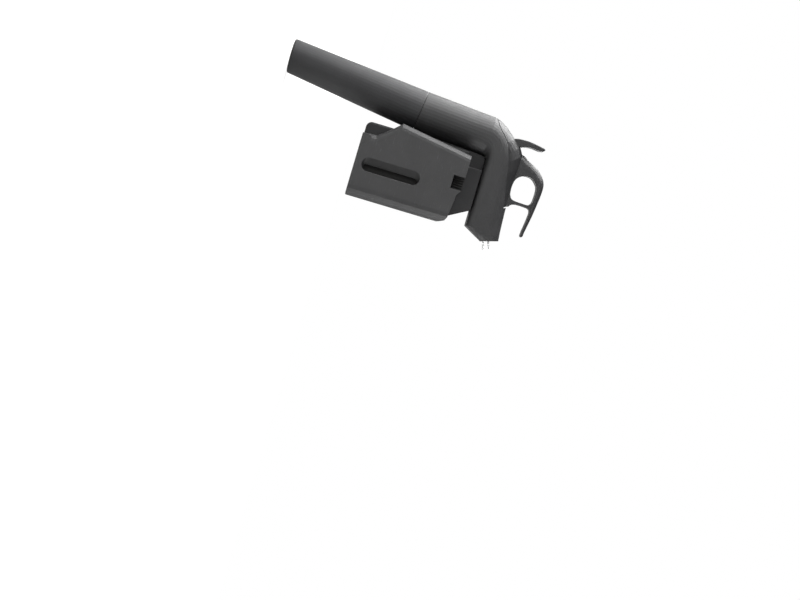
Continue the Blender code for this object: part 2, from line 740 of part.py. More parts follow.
def make_head_shells():
    """Left and right half of the moulded head, with bosses for the screws and the trigger's pin."""
    shell = head_form("head_shell")
    shell_skin = BVHTree.FromObject(shell, bpy.context.evaluated_depsgraph_get())
    cut(shell, shell_cavity())
    across = LEFT * GRIP_RADIUS
    for shares in SCREW_PLACE_SHARES.values():
        place = head_point(shares)
        boss = rod("boss", place - across, place + across, BOSS_RADIUS)
        join(shell, keep(boss, head_form("skin", wall=HEAD_WALL / 2)))
    boss = rod("boss", PIVOT - across, PIVOT + across, PIVOT_BOSS_RADIUS)
    boss = keep(boss, head_form("skin", wall=HEAD_WALL / 2))
    reach = Vector((REACH_PAST, PIVOT_BOSS_INNER, REACH_PAST))
    cut(boss, box("between", PIVOT - reach, PIVOT + reach))
    join(shell, boss)
    front = front_arc(PLATE_CLEARANCE, seam_height(0), HEAD_BASE + HEAD_RISE)
    seam = [point for point in seam_line() if point[0] < front[0][0]]
    cut(shell, above([*seam, *front], "room"))
    plate_room = head_form("plate_room", rim=RIM_WALL - PLATE_CLEARANCE)
    keep(plate_room, prism("zone", drop_zone(sink_depth(), PLATE_CLEARANCE), -REACH_PAST, REACH_PAST))
    cut(shell, plate_room)
    across = LEFT * (PIVOT_PIN_REACH + GAP)
    cut(shell, rod("pin_hole", PIVOT - across, PIVOT + across, PIVOT_PIN_RADIUS + GAP))
    for name, shares in SCREW_PLACE_SHARES.items():
        cut(shell, screw_tool(head_point(shares), shell_skin, GAP))
    rear, front = spout_point(-OVERRUN * 2), spout_point(OVERRUN * 2)
    cut(shell, rod("spout_hole", rear, front, SPOUT_COLLAR_RADIUS + GAP, ROUND_SIDES))
    base = Vector((0, 0, HEAD_BASE))
    low, high = base - UP * OVERRUN, base + UP * OVERRUN * 2
    cut(shell, rod("hub_hole", low, high, HUB_FLANGE_RADIUS + GAP, ROUND_SIDES))
    low = (RAIL_BACK - GAP, -RAIL_HALF_WIDTH - GAP, HEAD_BASE - OVERRUN)
    high = (RAIL_FRONT + GAP, RAIL_HALF_WIDTH + GAP, HEAD_BASE + HEAD_WALL + GAP)
    cut(shell, box("rail_hole", low, high))
    seat_radius, seat_top = COLLAR_RADIUS + GAP, FLANGE_TOP + GAP
    seat = [(0, -OVERRUN), (seat_radius, -OVERRUN), (seat_radius, seat_top), (0, seat_top)]
    cut(shell, turned("collar_seat", seat, HANDLE_FRAME, CUP_SIDES))
    left = copy_of(shell, "head_shell_left")
    shell.name = "head_shell_right"
    keep(left, box("side", (-REACH_PAST, GAP / 2, -REACH_PAST), (REACH_PAST, REACH_PAST, REACH_PAST)))
    keep(shell, box("side", (-REACH_PAST, -REACH_PAST, -REACH_PAST), (REACH_PAST, -GAP / 2, REACH_PAST)))
    return [left, shell], shell_skin


def skin_reach(place, skin):
    """Distance from the middle plane to the head's skin at the place of a screw."""
    start = place + LEFT * REACH_PAST
    hit = skin.ray_cast(start, -LEFT)[0]
    return hit.y


def screw_tool(place, skin, clearance):
    """Hole for a shell screw: head recess on the left, shank through to the right half."""
    shoulder = skin_reach(place, skin) - SCREW_HEAD_DEPTH - SCREW_HEAD_HEIGHT
    outside = skin_reach(place, skin) + OVERRUN - shoulder
    deep = -shoulder - SCREW_REACH - clearance
    profile = [
        (0, deep), (SCREW_RADIUS + clearance, deep), (SCREW_RADIUS + clearance, -clearance),
        (SCREW_HEAD_RADIUS + clearance, -clearance), (SCREW_HEAD_RADIUS + clearance, outside), (0, outside),
    ]
    return turned("screw_hole", profile, frame_along(place + LEFT * shoulder, LEFT), SMALL_SIDES)


def make_shell_screw(name, place, skin):
    """Screw with a round head and a hexagon socket."""
    shoulder = skin_reach(place, skin) - SCREW_HEAD_DEPTH - SCREW_HEAD_HEIGHT
    deep = -shoulder - SCREW_REACH
    profile = [
        (0, deep), (SCREW_RADIUS, deep), (SCREW_RADIUS, 0), (SCREW_HEAD_RADIUS, 0),
        (SCREW_HEAD_RADIUS, SCREW_HEAD_HEIGHT), (0, SCREW_HEAD_HEIGHT),
    ]
    screw = turned(name, profile, frame_along(place + LEFT * shoulder, LEFT), SMALL_SIDES)
    socket_base = place + LEFT * (shoulder + SCREW_HEAD_HEIGHT - SOCKET_DEPTH)
    return cut(screw, rod("socket", socket_base, socket_base + LEFT * OVERRUN, SOCKET_RADIUS, 6))


# Trigger


def make_trigger():
    """Saddle and plate, with the loop and finger, the thumb spur and the lug on its pin."""
    trigger = head_form("trigger", rim=RIM_WALL)
    drop = head_x(PLATE_DROP_SHARE)
    rear = [point for point in offset_line(seam_line(), SEAM_GAP) if point[0] < drop]
    rear.append((drop + GAP, seam_height(drop + GAP) + SEAM_GAP))
    start = (rear[0][0] - REACH_PAST, rear[0][1] - REACH_PAST)
    zone = [start, *rear, *drop_zone(PLATE_DEPTH, -GAP)[:-1], (start[0], HEAD_BASE + 2 * HEAD_RISE)]
    keep(trigger, prism("zone", zone, -REACH_PAST, REACH_PAST))
    join(trigger, make_loop())
    spur = smooth_line(middle_outline(SPUR_BACK_SHARES))[:-1]
    spur += smooth_line(middle_outline(SPUR_TIP_SHARES))[:-1]
    spur += smooth_line(middle_outline(SPUR_FRONT_SHARES))
    spur = prism("spur", spur, -SPUR_HALF_WIDTH, SPUR_HALF_WIDTH)
    join(trigger, round_edges(spur, SPUR_ROUND, 2, BLADE_ANGLE))
    join(trigger, make_lug())
    across = LEFT * GRIP_RADIUS
    cut(trigger, rod("pin_hole", PIVOT - across, PIVOT + across, PIVOT_PIN_RADIUS + GAP))
    return trigger


def crowned(rows):
    """(x, z, depth) points for rows of head shares with a share of the crown's depth."""
    return [(*point, CROWN_DEPTH * row[2]) for point, row in zip(middle_outline(rows), rows)]


def crown_ring(outline, turn, side):
    """Outline of the loop where its rounding has turned by an angle, pulled in by its own depth at each point."""
    ring = []
    across = BLADE_HALF_WIDTH - CROWN_WIDTH + CROWN_WIDTH * math.cos(turn)
    for index, (x, z, depth) in enumerate(outline):
        before = Vector(outline[index - 1][:2])
        after = Vector(outline[(index + 1) % len(outline)][:2])
        along = (after - before).normalized()
        inset = depth * (1 - math.sin(turn))
        ring.append((x + along.y * inset, side * across, z - along.x * inset))
    return ring


def make_loop():
    """Arch, finger and strut in one band with rounded sides, and the finger hole through it."""
    outline = smooth_line(crowned(ARCH_SHARES))[:-1]
    outline += smooth_line(crowned(TIP_SHARES))[:-1]
    outline += smooth_line(crowned(FINGER_SHARES), 2)[:-1]
    outline += smooth_line(crowned(STRUT_SHARES), 2)
    outline += crowned(FOOT_SHARES)
    turns = [math.pi / 2 * step / CROWN_STEPS for step in range(CROWN_STEPS + 1)]
    rings = [crown_ring(outline, turn, -1) for turn in turns]
    rings += [crown_ring(outline, turn, 1) for turn in reversed(turns)]
    loop = loft("loop", rings)
    hole = smooth_line(middle_outline(HOLE_SHARES + HOLE_SHARES[:1]), 2)[:-1]
    cut(loop, prism("hole", hole, -REACH_PAST, REACH_PAST))
    return round_edges(loop, HOLE_ROUND, 2, BLADE_ANGLE)


def make_lug():
    """Web from the saddle down to the pin."""
    rear = head_x(WALL_END_SHARE) + 2 * GAP
    front = head_x(PLATE_DROP_SHARE) + LUG_RADIUS
    outline = [(front, seam_height(front)), (rear, seam_height(rear) + LUG_RADIUS)]
    outline += arc((PIVOT.x, PIVOT.z), LUG_RADIUS, math.pi, 2 * math.pi, 8)
    return prism("lug", outline, -LUG_HALF_WIDTH, LUG_HALF_WIDTH)


# Spout, valve and needle


def spout_axis():
    """Direction of the spout, square to the head's front face."""
    top, bottom = head_rows()[-1][:2]
    return LEFT.cross(top - bottom).normalized()


def spout_point(distance):
    """Point on the spout's axis, measured from the head's front face."""
    top, bottom = head_rows()[-1][:2]
    return bottom.lerp(top, SPOUT_INSET_SHARE) + spout_axis() * distance


def spout_distance(x):
    """Distance from the front face of the point where the spout's axis is at a place along X."""
    return (x - spout_point(0).x) / spout_axis().x


def make_valve_body():
    """Metal block with the ports for gas and wine, the valve's bore and the sockets for hub and spout."""
    low = (VALVE_REAR, -VALVE_HALF_WIDTH, VALVE_BASE)
    body = box("valve_body", low, (head_x(VALVE_FRONT_SHARE), VALVE_HALF_WIDTH, VALVE_TOP))
    round_edges(body, VALVE_ROUND)
    nose_rear = spout_point(spout_distance(head_x(NOSE_REAR_SHARE)))
    nose_front = spout_point(spout_distance(head_x(NOSE_FRONT_SHARE)))
    join(body, rod("nose", nose_rear, nose_front, NOSE_RADIUS, ROUND_SIDES))
    socket_end = nose_rear.lerp(nose_front, 0.5)
    cut(body, rod("socket", socket_end, nose_front + spout_axis() * OVERRUN, SPOUT_RADIUS + GAP))
    elbow = spout_point(spout_distance(0)) + UP * PORT_RADIUS
    cut(body, rod("wine_port", spout_point(spout_distance(0)), socket_end + spout_axis() * GAP, PORT_RADIUS))
    hub_base = Vector((0, 0, VALVE_BASE - OVERRUN))
    cut(body, rod("hub_bore", hub_base, Vector((0, 0, hub_bore_top())), HUB_RADIUS + GAP))
    cut(body, rod("needle_port", Vector((0, 0, hub_bore_top() - GAP)), elbow, PORT_RADIUS))
    stem = Vector((head_x(STEM_SHARE), 0, 0))
    floor = stem + UP * SPRING_FLOOR
    bore_base = floor - UP * STEM_BORE_DEPTH
    cut(body, rod("spring_bore", floor, stem + UP * (VALVE_TOP + OVERRUN), SPRING_BORE_RADIUS))
    cut(body, rod("stem_bore", bore_base, floor + UP * GAP, STEM_BORE_RADIUS))
    port_base = bore_base + UP * (PORT_RADIUS + GAP)
    cut(body, rod("gas_port", port_base, Vector((0, 0, port_base.z)), PORT_RADIUS))
    inlet = gas_inlet()
    cut(body, rod("inlet", inlet - Vector((OVERRUN, 0, 0)), inlet + Vector((OVERRUN, 0, 0)), PORT_RADIUS))
    for side in (-1, 1):
        spot = rail_screw_spot(side)
        shank_base = spot - UP * (VALVE_HEIGHT + OVERRUN)
        cut(body, rod("screw_hole", shank_base, spot + UP * OVERRUN, RAIL_SCREW_RADIUS + GAP))
        recess_base = spot - UP * (RAIL_SCREW_SINK + GAP)
        cut(body, rod("screw_recess", recess_base, spot + UP * OVERRUN, RAIL_SCREW_HEAD_RADIUS + GAP))
    return body


def hub_bore_top():
    """Top of the bore that holds the needle's hub and its seal."""
    return hub_top() + GAP + NEEDLE_SEAL_THICKNESS + GAP


def hub_top():
    return HEAD_BASE + GAP + HUB_FLANGE_THICKNESS + HUB_LENGTH


def gas_inlet():
    """Point in the valve body's rear face where the gas tube meets it."""
    return Vector((VALVE_REAR, GAS_TUBE_INLET[0], VALVE_BASE + GAS_TUBE_INLET[1]))


def rail_screw_spot(side):
    """Point in the valve body's top over the rail, for one of its two screws."""
    return Vector(((RAIL_BACK + RAIL_FRONT) / 2, side * RAIL_SCREW_SPREAD, VALVE_TOP))


def make_needle_set():
    """Needle, the hub that holds it, and the seal over the hub."""
    flange = HEAD_BASE + GAP
    bore = NEEDLE_RADIUS + GAP
    profile = [
        (bore, flange), (HUB_FLANGE_RADIUS, flange), (HUB_FLANGE_RADIUS, flange + HUB_FLANGE_THICKNESS),
        (HUB_RADIUS, flange + HUB_FLANGE_THICKNESS), (HUB_RADIUS, hub_top()), (bore, hub_top()),
    ]
    hub = turned("needle_hub", profile)
    seal_base = hub_top() + GAP
    profile = [
        (PORT_RADIUS, seal_base), (HUB_RADIUS, seal_base),
        (HUB_RADIUS, seal_base + NEEDLE_SEAL_THICKNESS), (PORT_RADIUS, seal_base + NEEDLE_SEAL_THICKNESS),
    ]
    seal = turned("needle_seal", profile, sides=SMALL_SIDES)
    tip = -NEEDLE_DEPTH
    profile = [
        (0, tip), (NEEDLE_RADIUS, tip + NEEDLE_TIP_LENGTH), (NEEDLE_RADIUS, hub_top()),
        (NEEDLE_BORE_RADIUS, hub_top()), (NEEDLE_BORE_RADIUS, tip + NEEDLE_TIP_LENGTH),
        (0, tip + NEEDLE_TIP_LENGTH),
    ]
    needle = turned("needle", profile, sides=NEEDLE_SIDES)
    return [hub, seal, needle]


def plate_underside(x):
    return seam_height(x) - PLATE_DEPTH


def make_valve_set():
    """Stem with its head under the trigger's plate, the ring that seals it and the spring round it."""
    x = head_x(STEM_SHARE)
    head_top = plate_underside(x - STEM_HEAD_RADIUS) - 2 * GAP
    head_base = head_top - STEM_HEAD_THICKNESS
    base = SPRING_FLOOR - STEM_BORE_DEPTH + TRIGGER_TRAVEL * (x - PIVOT.x) + 2 * GAP
    groove_low = base + ORING_RADIUS
    groove_high = groove_low + 2 * (ORING_RADIUS + GAP)
    neck = STEM_BORE_RADIUS - GAP - 2 * ORING_RADIUS - GAP
    profile = [
        (0, 0), (STEM_RADIUS, 0), (STEM_RADIUS, groove_low - base), (neck, groove_low - base),
        (neck, groove_high - base), (STEM_RADIUS, groove_high - base), (STEM_RADIUS, head_base - base),
        (STEM_HEAD_RADIUS, head_base - base), (STEM_HEAD_RADIUS, head_top - base), (0, head_top - base),
    ]
    stem = turned("valve_stem", profile, Matrix.Translation((x, 0, base)), SMALL_SIDES)
    ring_radius = neck + GAP + ORING_RADIUS
    middle = (groove_low + groove_high) / 2
    profile = arc((ring_radius, 0), ORING_RADIUS, 0, 2 * math.pi, 8)[:-1]
    seal = turned("valve_seal", profile, Matrix.Translation((x, 0, middle)), SMALL_SIDES)
    length = head_base - SPRING_FLOOR - 2 * GAP
    radius = (STEM_BORE_RADIUS + STEM_HEAD_RADIUS) / 2
    base = Vector((x, 0, SPRING_FLOOR + GAP))
    spring = coil("valve_spring", base, UP, radius, VALVE_WIRE, VALVE_TURNS, length)
    return stem, seal, spring


def make_spout():
    """Outlet tube, and the ring that holds it in the head's front face."""
    rear = spout_distance((head_x(NOSE_REAR_SHARE) + head_x(NOSE_FRONT_SHARE)) / 2) + GAP
    length = SPOUT_STUB - rear
    profile = [(SPOUT_BORE_RADIUS, 0), (SPOUT_RADIUS, 0), (SPOUT_RADIUS, length), (SPOUT_BORE_RADIUS, length)]
    tube = turned("spout_tube", profile, frame_along(spout_point(rear), spout_axis()))
    inner = SPOUT_RADIUS + GAP
    rear = SPOUT_COLLAR_PROUD - SPOUT_COLLAR_LENGTH
    profile = [
        (inner, 0), (SPOUT_COLLAR_RADIUS, 0), (SPOUT_COLLAR_RADIUS, SPOUT_COLLAR_LENGTH),
        (inner, SPOUT_COLLAR_LENGTH),
    ]
    collar = turned("spout_collar", profile, frame_along(spout_point(rear), spout_axis()))
    return [tube, collar]


def make_gas_tube():
    """Tube from the regulator's flange, up past the pin and into the valve body's rear."""
    radial = (REGULATOR_RADIUS + COLLAR_RADIUS) / 2
    start = HANDLE_FRAME @ Vector((0, radial, FLANGE_TOP + GAP))
    along = HANDLE_FRAME.to_3x3() @ UP
    end = gas_inlet() - Vector((GAP, 0, 0))
    corner = start + along * (end.z - start.z) / along.z
    before_end = end - Vector((2 * GAS_TUBE_BEND, 0, 0))
    return tube_along("gas_tube", bent_path([start, corner, before_end, end], GAS_TUBE_BEND), GAS_TUBE_RADIUS)


# Regulator, cartridge and cup, all turned about the handle's axis


def make_regulator():
    """Regulator body on the collar, its piston, spring and cap."""
    bore_base = FLANGE_TOP
    port = PIN_RADIUS + GAP
    profile = [
        (port, -THREAD_LENGTH), (SPIGOT_RADIUS, -THREAD_LENGTH), (SPIGOT_RADIUS, REGULATOR_BASE),
        (COLLAR_RADIUS, REGULATOR_BASE), (COLLAR_RADIUS, FLANGE_TOP), (REGULATOR_RADIUS, FLANGE_TOP),
        (REGULATOR_RADIUS, REGULATOR_TOP), (REGULATOR_BORE_RADIUS, REGULATOR_TOP),
        (REGULATOR_BORE_RADIUS, bore_base), (port, bore_base),
    ]
    body = turned("regulator_body", profile, HANDLE_FRAME)
    piston_radius = REGULATOR_BORE_RADIUS - GAP
    profile = [(0, 0), (piston_radius, 0), (piston_radius, PISTON_THICKNESS), (0, PISTON_THICKNESS)]
    piston = turned("regulator_piston", profile, HANDLE_FRAME @ Matrix.Translation((0, 0, PISTON_BASE)))
    cap_base = REGULATOR_TOP + GAP
    profile = [
        (0, cap_base - CAP_PLUG), (piston_radius, cap_base - CAP_PLUG), (piston_radius, cap_base),
        (REGULATOR_RADIUS, cap_base), (REGULATOR_RADIUS, cap_base + CAP_THICKNESS),
        (0, cap_base + CAP_THICKNESS),
    ]
    cap = turned("regulator_cap", profile, HANDLE_FRAME)
    socket_start = HANDLE_FRAME @ Vector((0, 0, cap_base + CAP_THICKNESS / 2))
    socket_end = HANDLE_FRAME @ Vector((0, 0, cap_base + CAP_THICKNESS + OVERRUN))
    cut(cap, rod("socket", socket_start, socket_end, CAP_SOCKET_RADIUS, 6))
    spring_base = PISTON_BASE + PISTON_THICKNESS + GAP
    length = cap_base - CAP_PLUG - GAP - spring_base
    spring = coil(
        "regulator_spring", HANDLE_FRAME @ Vector((0, 0, spring_base)), HANDLE_FRAME.to_3x3() @ UP,
        piston_radius * REGULATOR_COIL_SHARE, REGULATOR_WIRE, REGULATOR_TURNS, length,
    )
    return [body, cap, spring], piston


def make_collar():
    """Metal ring in the grip's end, on which the cup screws."""
    profile = [
        (COLLAR_BORE_RADIUS, -THREAD_LENGTH), (COLLAR_RADIUS, -THREAD_LENGTH),
        (COLLAR_RADIUS, COLLAR_SEAT), (COLLAR_BORE_RADIUS, COLLAR_SEAT),
    ]
    return turned("threaded_collar", profile, HANDLE_FRAME, CUP_SIDES)


def make_piercing_pin():
    """Hollow pin through the seal and into the cartridge."""
    tip = CAPSULE_TOP - PIN_BITE
    profile = [(PIN_BORE_RADIUS, tip), (PIN_RADIUS, tip + PIN_RADIUS), (PIN_RADIUS, 0), (PIN_BORE_RADIUS, 0)]
    return turned("piercing_pin", profile, HANDLE_FRAME, NEEDLE_SIDES)


def make_capsule_seal():
    """Washer between the cartridge's neck and the regulator."""
    low = CAPSULE_TOP + GAP
    inner = PIN_RADIUS + GAP
    high = low + SEAL_THICKNESS
    profile = [(inner, low), (SEAL_RADIUS, low), (SEAL_RADIUS, high), (inner, high)]
    return turned("capsule_seal", profile, HANDLE_FRAME, SMALL_SIDES)


def make_capsule():
    """Steel cartridge, hollow, with the hole that the pin made in its neck."""
    base, top = CAPSULE_BASE, CAPSULE_TOP
    inner = CAPSULE_RADIUS - CAPSULE_WALL
    shoulder = top - CAPSULE_NECK_LENGTH - CAPSULE_SHOULDER
    dome = CAPSULE_RADIUS / 2
    width, height = CAPSULE_SHOULDER_SHARES
    outer_dome = arc((dome, base + dome), dome, -math.pi / 2, 0, 4)
    inner_dome = arc((dome, base + dome + CAPSULE_WALL), dome - CAPSULE_WALL, -math.pi / 2, 0, 4)
    profile = [(0, base), *outer_dome]
    profile += [(CAPSULE_RADIUS, shoulder), (CAPSULE_RADIUS * width, shoulder + CAPSULE_SHOULDER * height)]
    profile += [(CAPSULE_NECK_RADIUS, top - CAPSULE_NECK_LENGTH), (CAPSULE_NECK_RADIUS, top)]
    profile += [(PIERCED_RADIUS, top), (PIERCED_RADIUS, top - CAPSULE_NECK_LENGTH), (inner, shoulder)]
    profile += [*inner_dome[::-1], (0, base + CAPSULE_WALL)]
    return turned("gas_capsule", profile, HANDLE_FRAME, CAPSULE_SIDES)


def make_cushion():
    """Rubber disc under the cartridge."""
    low = CUP_INNER_END + GAP
    high = low + CUSHION_THICKNESS
    profile = [(0, low), (CAPSULE_RADIUS, low), (CAPSULE_RADIUS, high), (0, high)]
    return turned("cup_cushion", profile, HANDLE_FRAME, CAPSULE_SIDES)


def make_cup():
    """Long tapered cup, open at the top where it screws on the collar, its foot cut level."""
    inner = CAPSULE_RADIUS + 2 * GAP
    thread_end = -THREAD_LENGTH - 2 * GAP
    slant = CUP_END_RADIUS * math.sin(HANDLE_TILT)
    taper = (GRIP_RADIUS - CUP_END_RADIUS) / CUP_LENGTH
    profile = [(0, -CUP_LENGTH - 2 * slant), (CUP_END_RADIUS - taper * 2 * slant, -CUP_LENGTH - 2 * slant)]
    profile += [(GRIP_RADIUS, -GAP), (CUP_THREAD_RADIUS, -GAP), (CUP_THREAD_RADIUS, thread_end)]
    profile += [(inner, thread_end - (CUP_THREAD_RADIUS - inner)), (inner, CUP_INNER_END), (0, CUP_INNER_END)]
    cup = turned("capsule_cup", profile, HANDLE_FRAME, CUP_SIDES)
    foot = (HANDLE_FRAME @ Vector((0, 0, -CUP_LENGTH))).z
    cut(cup, box("foot", (-REACH_PAST, -REACH_PAST, foot - REACH_PAST), (REACH_PAST, REACH_PAST, foot)))
    set_origin(cup, HANDLE_FRAME.translation)
    bm = bmesh.new()
    bm.from_mesh(cup.data)
    level = foot - cup.location.z + WELD
    rim = [edge for edge in bm.edges if all(corner.co.z < level for corner in edge.verts)]
    bmesh.ops.bevel(bm, geom=rim, offset=CUP_END_ROUND, segments=3, profile=0.5, affect="EDGES")
    bm.to_mesh(cup.data)
    bm.free()
    return cup


# Clamp


def hinge_point(side, height):
    return Vector((PIN_BACK, side * HINGE_SPREAD, height))


def make_frame():
    """Spine behind the neck with the rail's channel, block under the head, and the arms' hinge lugs."""
    block_back = -BLOCK_BACK
    outline = [
        (SPINE_FRONT - RIB_THICKNESS, BLOCK_BASE), (BLOCK_FRONT, BLOCK_BASE), (BLOCK_FRONT, BLOCK_STEP),
        (BLOCK_NOSE, BLOCK_NOSE_HEIGHT), (BLOCK_NOSE, FRAME_TOP), (block_back, FRAME_TOP),
        (block_back, SPINE_TOP - RIB_THICKNESS), (SPINE_FRONT - RIB_THICKNESS, SPINE_TOP - RIB_THICKNESS),
    ]
    frame = round_edges(prism("clamp_frame", outline, -FRAME_HALF_WIDTH, FRAME_HALF_WIDTH), BLOCK_ROUND)
    corner = (SPINE_BACK + SPINE_CORNER, -SPINE_DROP + SPINE_CORNER)
    outline = arc(corner, SPINE_CORNER, math.pi, 1.5 * math.pi, 6)
    outline += [(SPINE_FRONT, -SPINE_DROP), (SPINE_FRONT, SPINE_TOP), (SPINE_BACK, SPINE_TOP)]
    spine = prism("spine", outline, -SPINE_HALF_WIDTH, SPINE_HALF_WIDTH)
    join(frame, round_edges(spine, SPINE_ROUND, 2))
    column_front = block_back + BLOCK_ROUND
    outline = [
        (SPINE_BACK, -COLUMN_DROP), (SPINE_BACK - COLUMN_SWELL, -COLUMN_FOOT_DROP), (SPINE_BACK, COLUMN_SHOULDER),
        (-COLUMN_NECK_BACK, COLUMN_NECK), (-COLUMN_BACK, FRAME_TOP), (column_front, FRAME_TOP), (column_front, 0),
    ]
    join(frame, prism("column", outline, -COLUMN_HALF_WIDTH, COLUMN_HALF_WIDTH))
    for height in (-LUG_LOWER_DROP, LUG_UPPER_HEIGHT):
        join(frame, make_lug_bar(height))
    channel_low = (RAIL_BACK - GAP, -RAIL_HALF_WIDTH - GAP, -SPINE_DROP - OVERRUN)
    channel_high = (RAIL_FRONT + GAP, RAIL_HALF_WIDTH + GAP, FRAME_TOP + OVERRUN)
    cut(frame, box("channel", channel_low, channel_high))
    low, high = (0, 0, BLOCK_BASE - OVERRUN), (0, 0, BLOCK_BASE + GUIDE_FLANGE + GAP)
    cut(frame, rod("guide_bore", low, (0, 0, FRAME_TOP + OVERRUN), GUIDE_RADIUS + GAP))
    cut(frame, rod("flange_bore", low, high, GUIDE_FLANGE_RADIUS + GAP))
    for side in (-1, 1):
        low = hinge_point(side, -LUG_LOWER_DROP - OVERRUN)
        high = hinge_point(side, LUG_UPPER_HEIGHT + LUG_THICKNESS + OVERRUN)
        cut(frame, rod("pin_hole", low, high, HINGE_PIN_RADIUS + GAP))
    return frame


def make_lug_bar(height):
    """Cross bar with a round eye at each end, for the hinge pins."""
    right = arc((PIN_BACK, -HINGE_SPREAD), LUG_EYE_RADIUS, math.pi, 2 * math.pi, 8)
    left = arc((PIN_BACK, HINGE_SPREAD), LUG_EYE_RADIUS, 0, math.pi, 8)
    return prism("lugs", right + left, height, height + LUG_THICKNESS, "Z")


def make_mouth_seat():
    """Rubber ring between the frame and the bottle's mouth."""
    profile = [
        (MOUTH_SEAT_HOLE, 0), (MOUTH_SEAT_RADIUS, 0), (MOUTH_SEAT_RADIUS, MOUTH_SEAT_THICKNESS),
        (MOUTH_SEAT_HOLE, MOUTH_SEAT_THICKNESS),
    ]
    return turned("mouth_seat", profile)


def make_needle_guide():
    """Bush that keeps the needle straight, held up in the frame by its flange."""
    bore = NEEDLE_RADIUS + GAP
    top = FRAME_TOP - GAP
    flange_top = BLOCK_BASE + GUIDE_FLANGE
    profile = [
        (bore, BLOCK_BASE), (GUIDE_FLANGE_RADIUS, BLOCK_BASE), (GUIDE_FLANGE_RADIUS, flange_top),
        (GUIDE_RADIUS, flange_top), (GUIDE_RADIUS, top), (bore, top),
    ]
    return turned("needle_guide", profile, sides=SMALL_SIDES)


def make_rail():
    """Bar under the head that slides in the frame's channel, with its two screws."""
    low = (RAIL_BACK, -RAIL_HALF_WIDTH, RAIL_BOTTOM)
    rail = round_edges(box("slide_rail", low, (RAIL_FRONT, RAIL_HALF_WIDTH, RAIL_TOP)), RAIL_ROUND)
    pieces = [rail]
    for side, name in ((-1, "rail_screw_right"), (1, "rail_screw_left")):
        spot = rail_screw_spot(side)
        deep = -VALVE_HEIGHT - RAIL_SCREW_BITE
        cut(rail, rod("screw_hole", spot + UP * (deep - GAP), spot + UP * OVERRUN, RAIL_SCREW_RADIUS + GAP))
        head_base, head_top = -RAIL_SCREW_SINK, RAIL_SCREW_HEAD - RAIL_SCREW_SINK
        profile = [
            (0, deep), (RAIL_SCREW_RADIUS, deep), (RAIL_SCREW_RADIUS, head_base),
            (RAIL_SCREW_HEAD_RADIUS, head_base), (RAIL_SCREW_HEAD_RADIUS, head_top), (0, head_top),
        ]
        pieces.append(turned(name, profile, Matrix.Translation(spot), SMALL_SIDES))
    return pieces


def arm_x(share):
    return share * (ARM_APEX if share < 0 else ARM_FRONT)


def arm_height(share):
    return share * (ARM_BOTTOM if share < 0 else ARM_TOP)


def arm_section(back):
    """Plan outline of the right arm's wall: round at the front, along the side, round at the back."""
    side, inner, front = -ARM_HALF_WIDTH, -ARM_INNER, ARM_FRONT
    r, s, wall = ARM_FRONT_ROUND, ARM_BACK_ROUND, ARM_WALL
    steps = ARM_ROUND_STEPS
    outline = [(front, -ARM_FRONT_GAP), *arc((front - r, side + r), r, 0, -math.pi / 2, steps)]
    outline += arc((back + s, side + s), s, -math.pi / 2, -math.pi, steps) + [(back, -ARM_TAIL_INNER)]
    outline += [(back + wall, -ARM_TAIL_INNER)]
    outline += arc((back + s, inner + s - wall), s - wall, -math.pi, -math.pi / 2, steps)
    outline += arc((front - r, inner + r - wall), r - wall, -math.pi / 2, 0, steps)
    return outline + [(front - wall, -ARM_FRONT_GAP)]


def make_arm():
    """Right arm: side plate with slot and notch, round edges, and the knuckle on its pin."""
    rings = []
    for back_share, height_share in ARM_BACK_SHARES:
        section = arm_section(-back_share * ARM_APEX)
        rings.append([(x, y, arm_height(height_share)) for x, y in section])
    arm = loft("arm_right", rings)
    join(arm, make_knuckle())
    top_line = [(arm_x(x), arm_height(z)) for x, z in ARM_TOP_SHARES]
    past = ARM_FRONT + OVERRUN
    roof = [*top_line, (past, top_line[-1][1] - OVERRUN), (past, 2 * ARM_TOP), (top_line[0][0], 2 * ARM_TOP)]
    cut(arm, prism("roof", roof, -REACH_PAST, REACH_PAST))
    cut(arm, make_facet())
    cut(arm, make_slot())
    low = (-NOTCH_BACK, -ARM_HALF_WIDTH - OVERRUN, ARM_TOP - NOTCH_DROP)
    cut(arm, box("notch", low, (NOTCH_WIDTH - NOTCH_BACK, -ARM_INNER + OVERRUN, ARM_TOP + OVERRUN)))
    return arm


def make_facet():
    """Slanted cut off the plate's lower rear corner, through a point on each of its three edges."""
    back_share, height_share = ARM_BACK_SHARES[0]
    side, bottom = -ARM_HALF_WIDTH, -ARM_BOTTOM
    corner = Vector((-back_share * ARM_APEX, side + FACET_DEPTH, bottom))
    upper = Vector((-FACET_BACK_SHARE * ARM_APEX, side, FACET_TOP_SHARE * bottom))
    lower = Vector((-FACET_BOTTOM_SHARE * ARM_APEX, side, bottom))
    outward = (upper - corner).cross(lower - corner).normalized()
    if outward.y > 0:
        outward = -outward
    facet = rod("facet", corner, corner + outward * ARM_APEX, 2 * ARM_APEX, 4)
    low = (-REACH_PAST, -REACH_PAST, -REACH_PAST)
    return keep(facet, box("below", low, (REACH_PAST, REACH_PAST, upper.z)))


def stadium(centre_x, length, width, depth):
    """Ring of a long slot with round ends, at a depth under the arm's side."""
    radius = width / 2
    reach = length / 2 - radius
    ring = arc((centre_x, reach - SLOT_CENTRE_DROP), radius, 0, math.pi, 8)
    ring += arc((centre_x, -reach - SLOT_CENTRE_DROP), radius, math.pi, 2 * math.pi, 8)
    return [(x, depth - ARM_HALF_WIDTH, z) for x, z in ring]


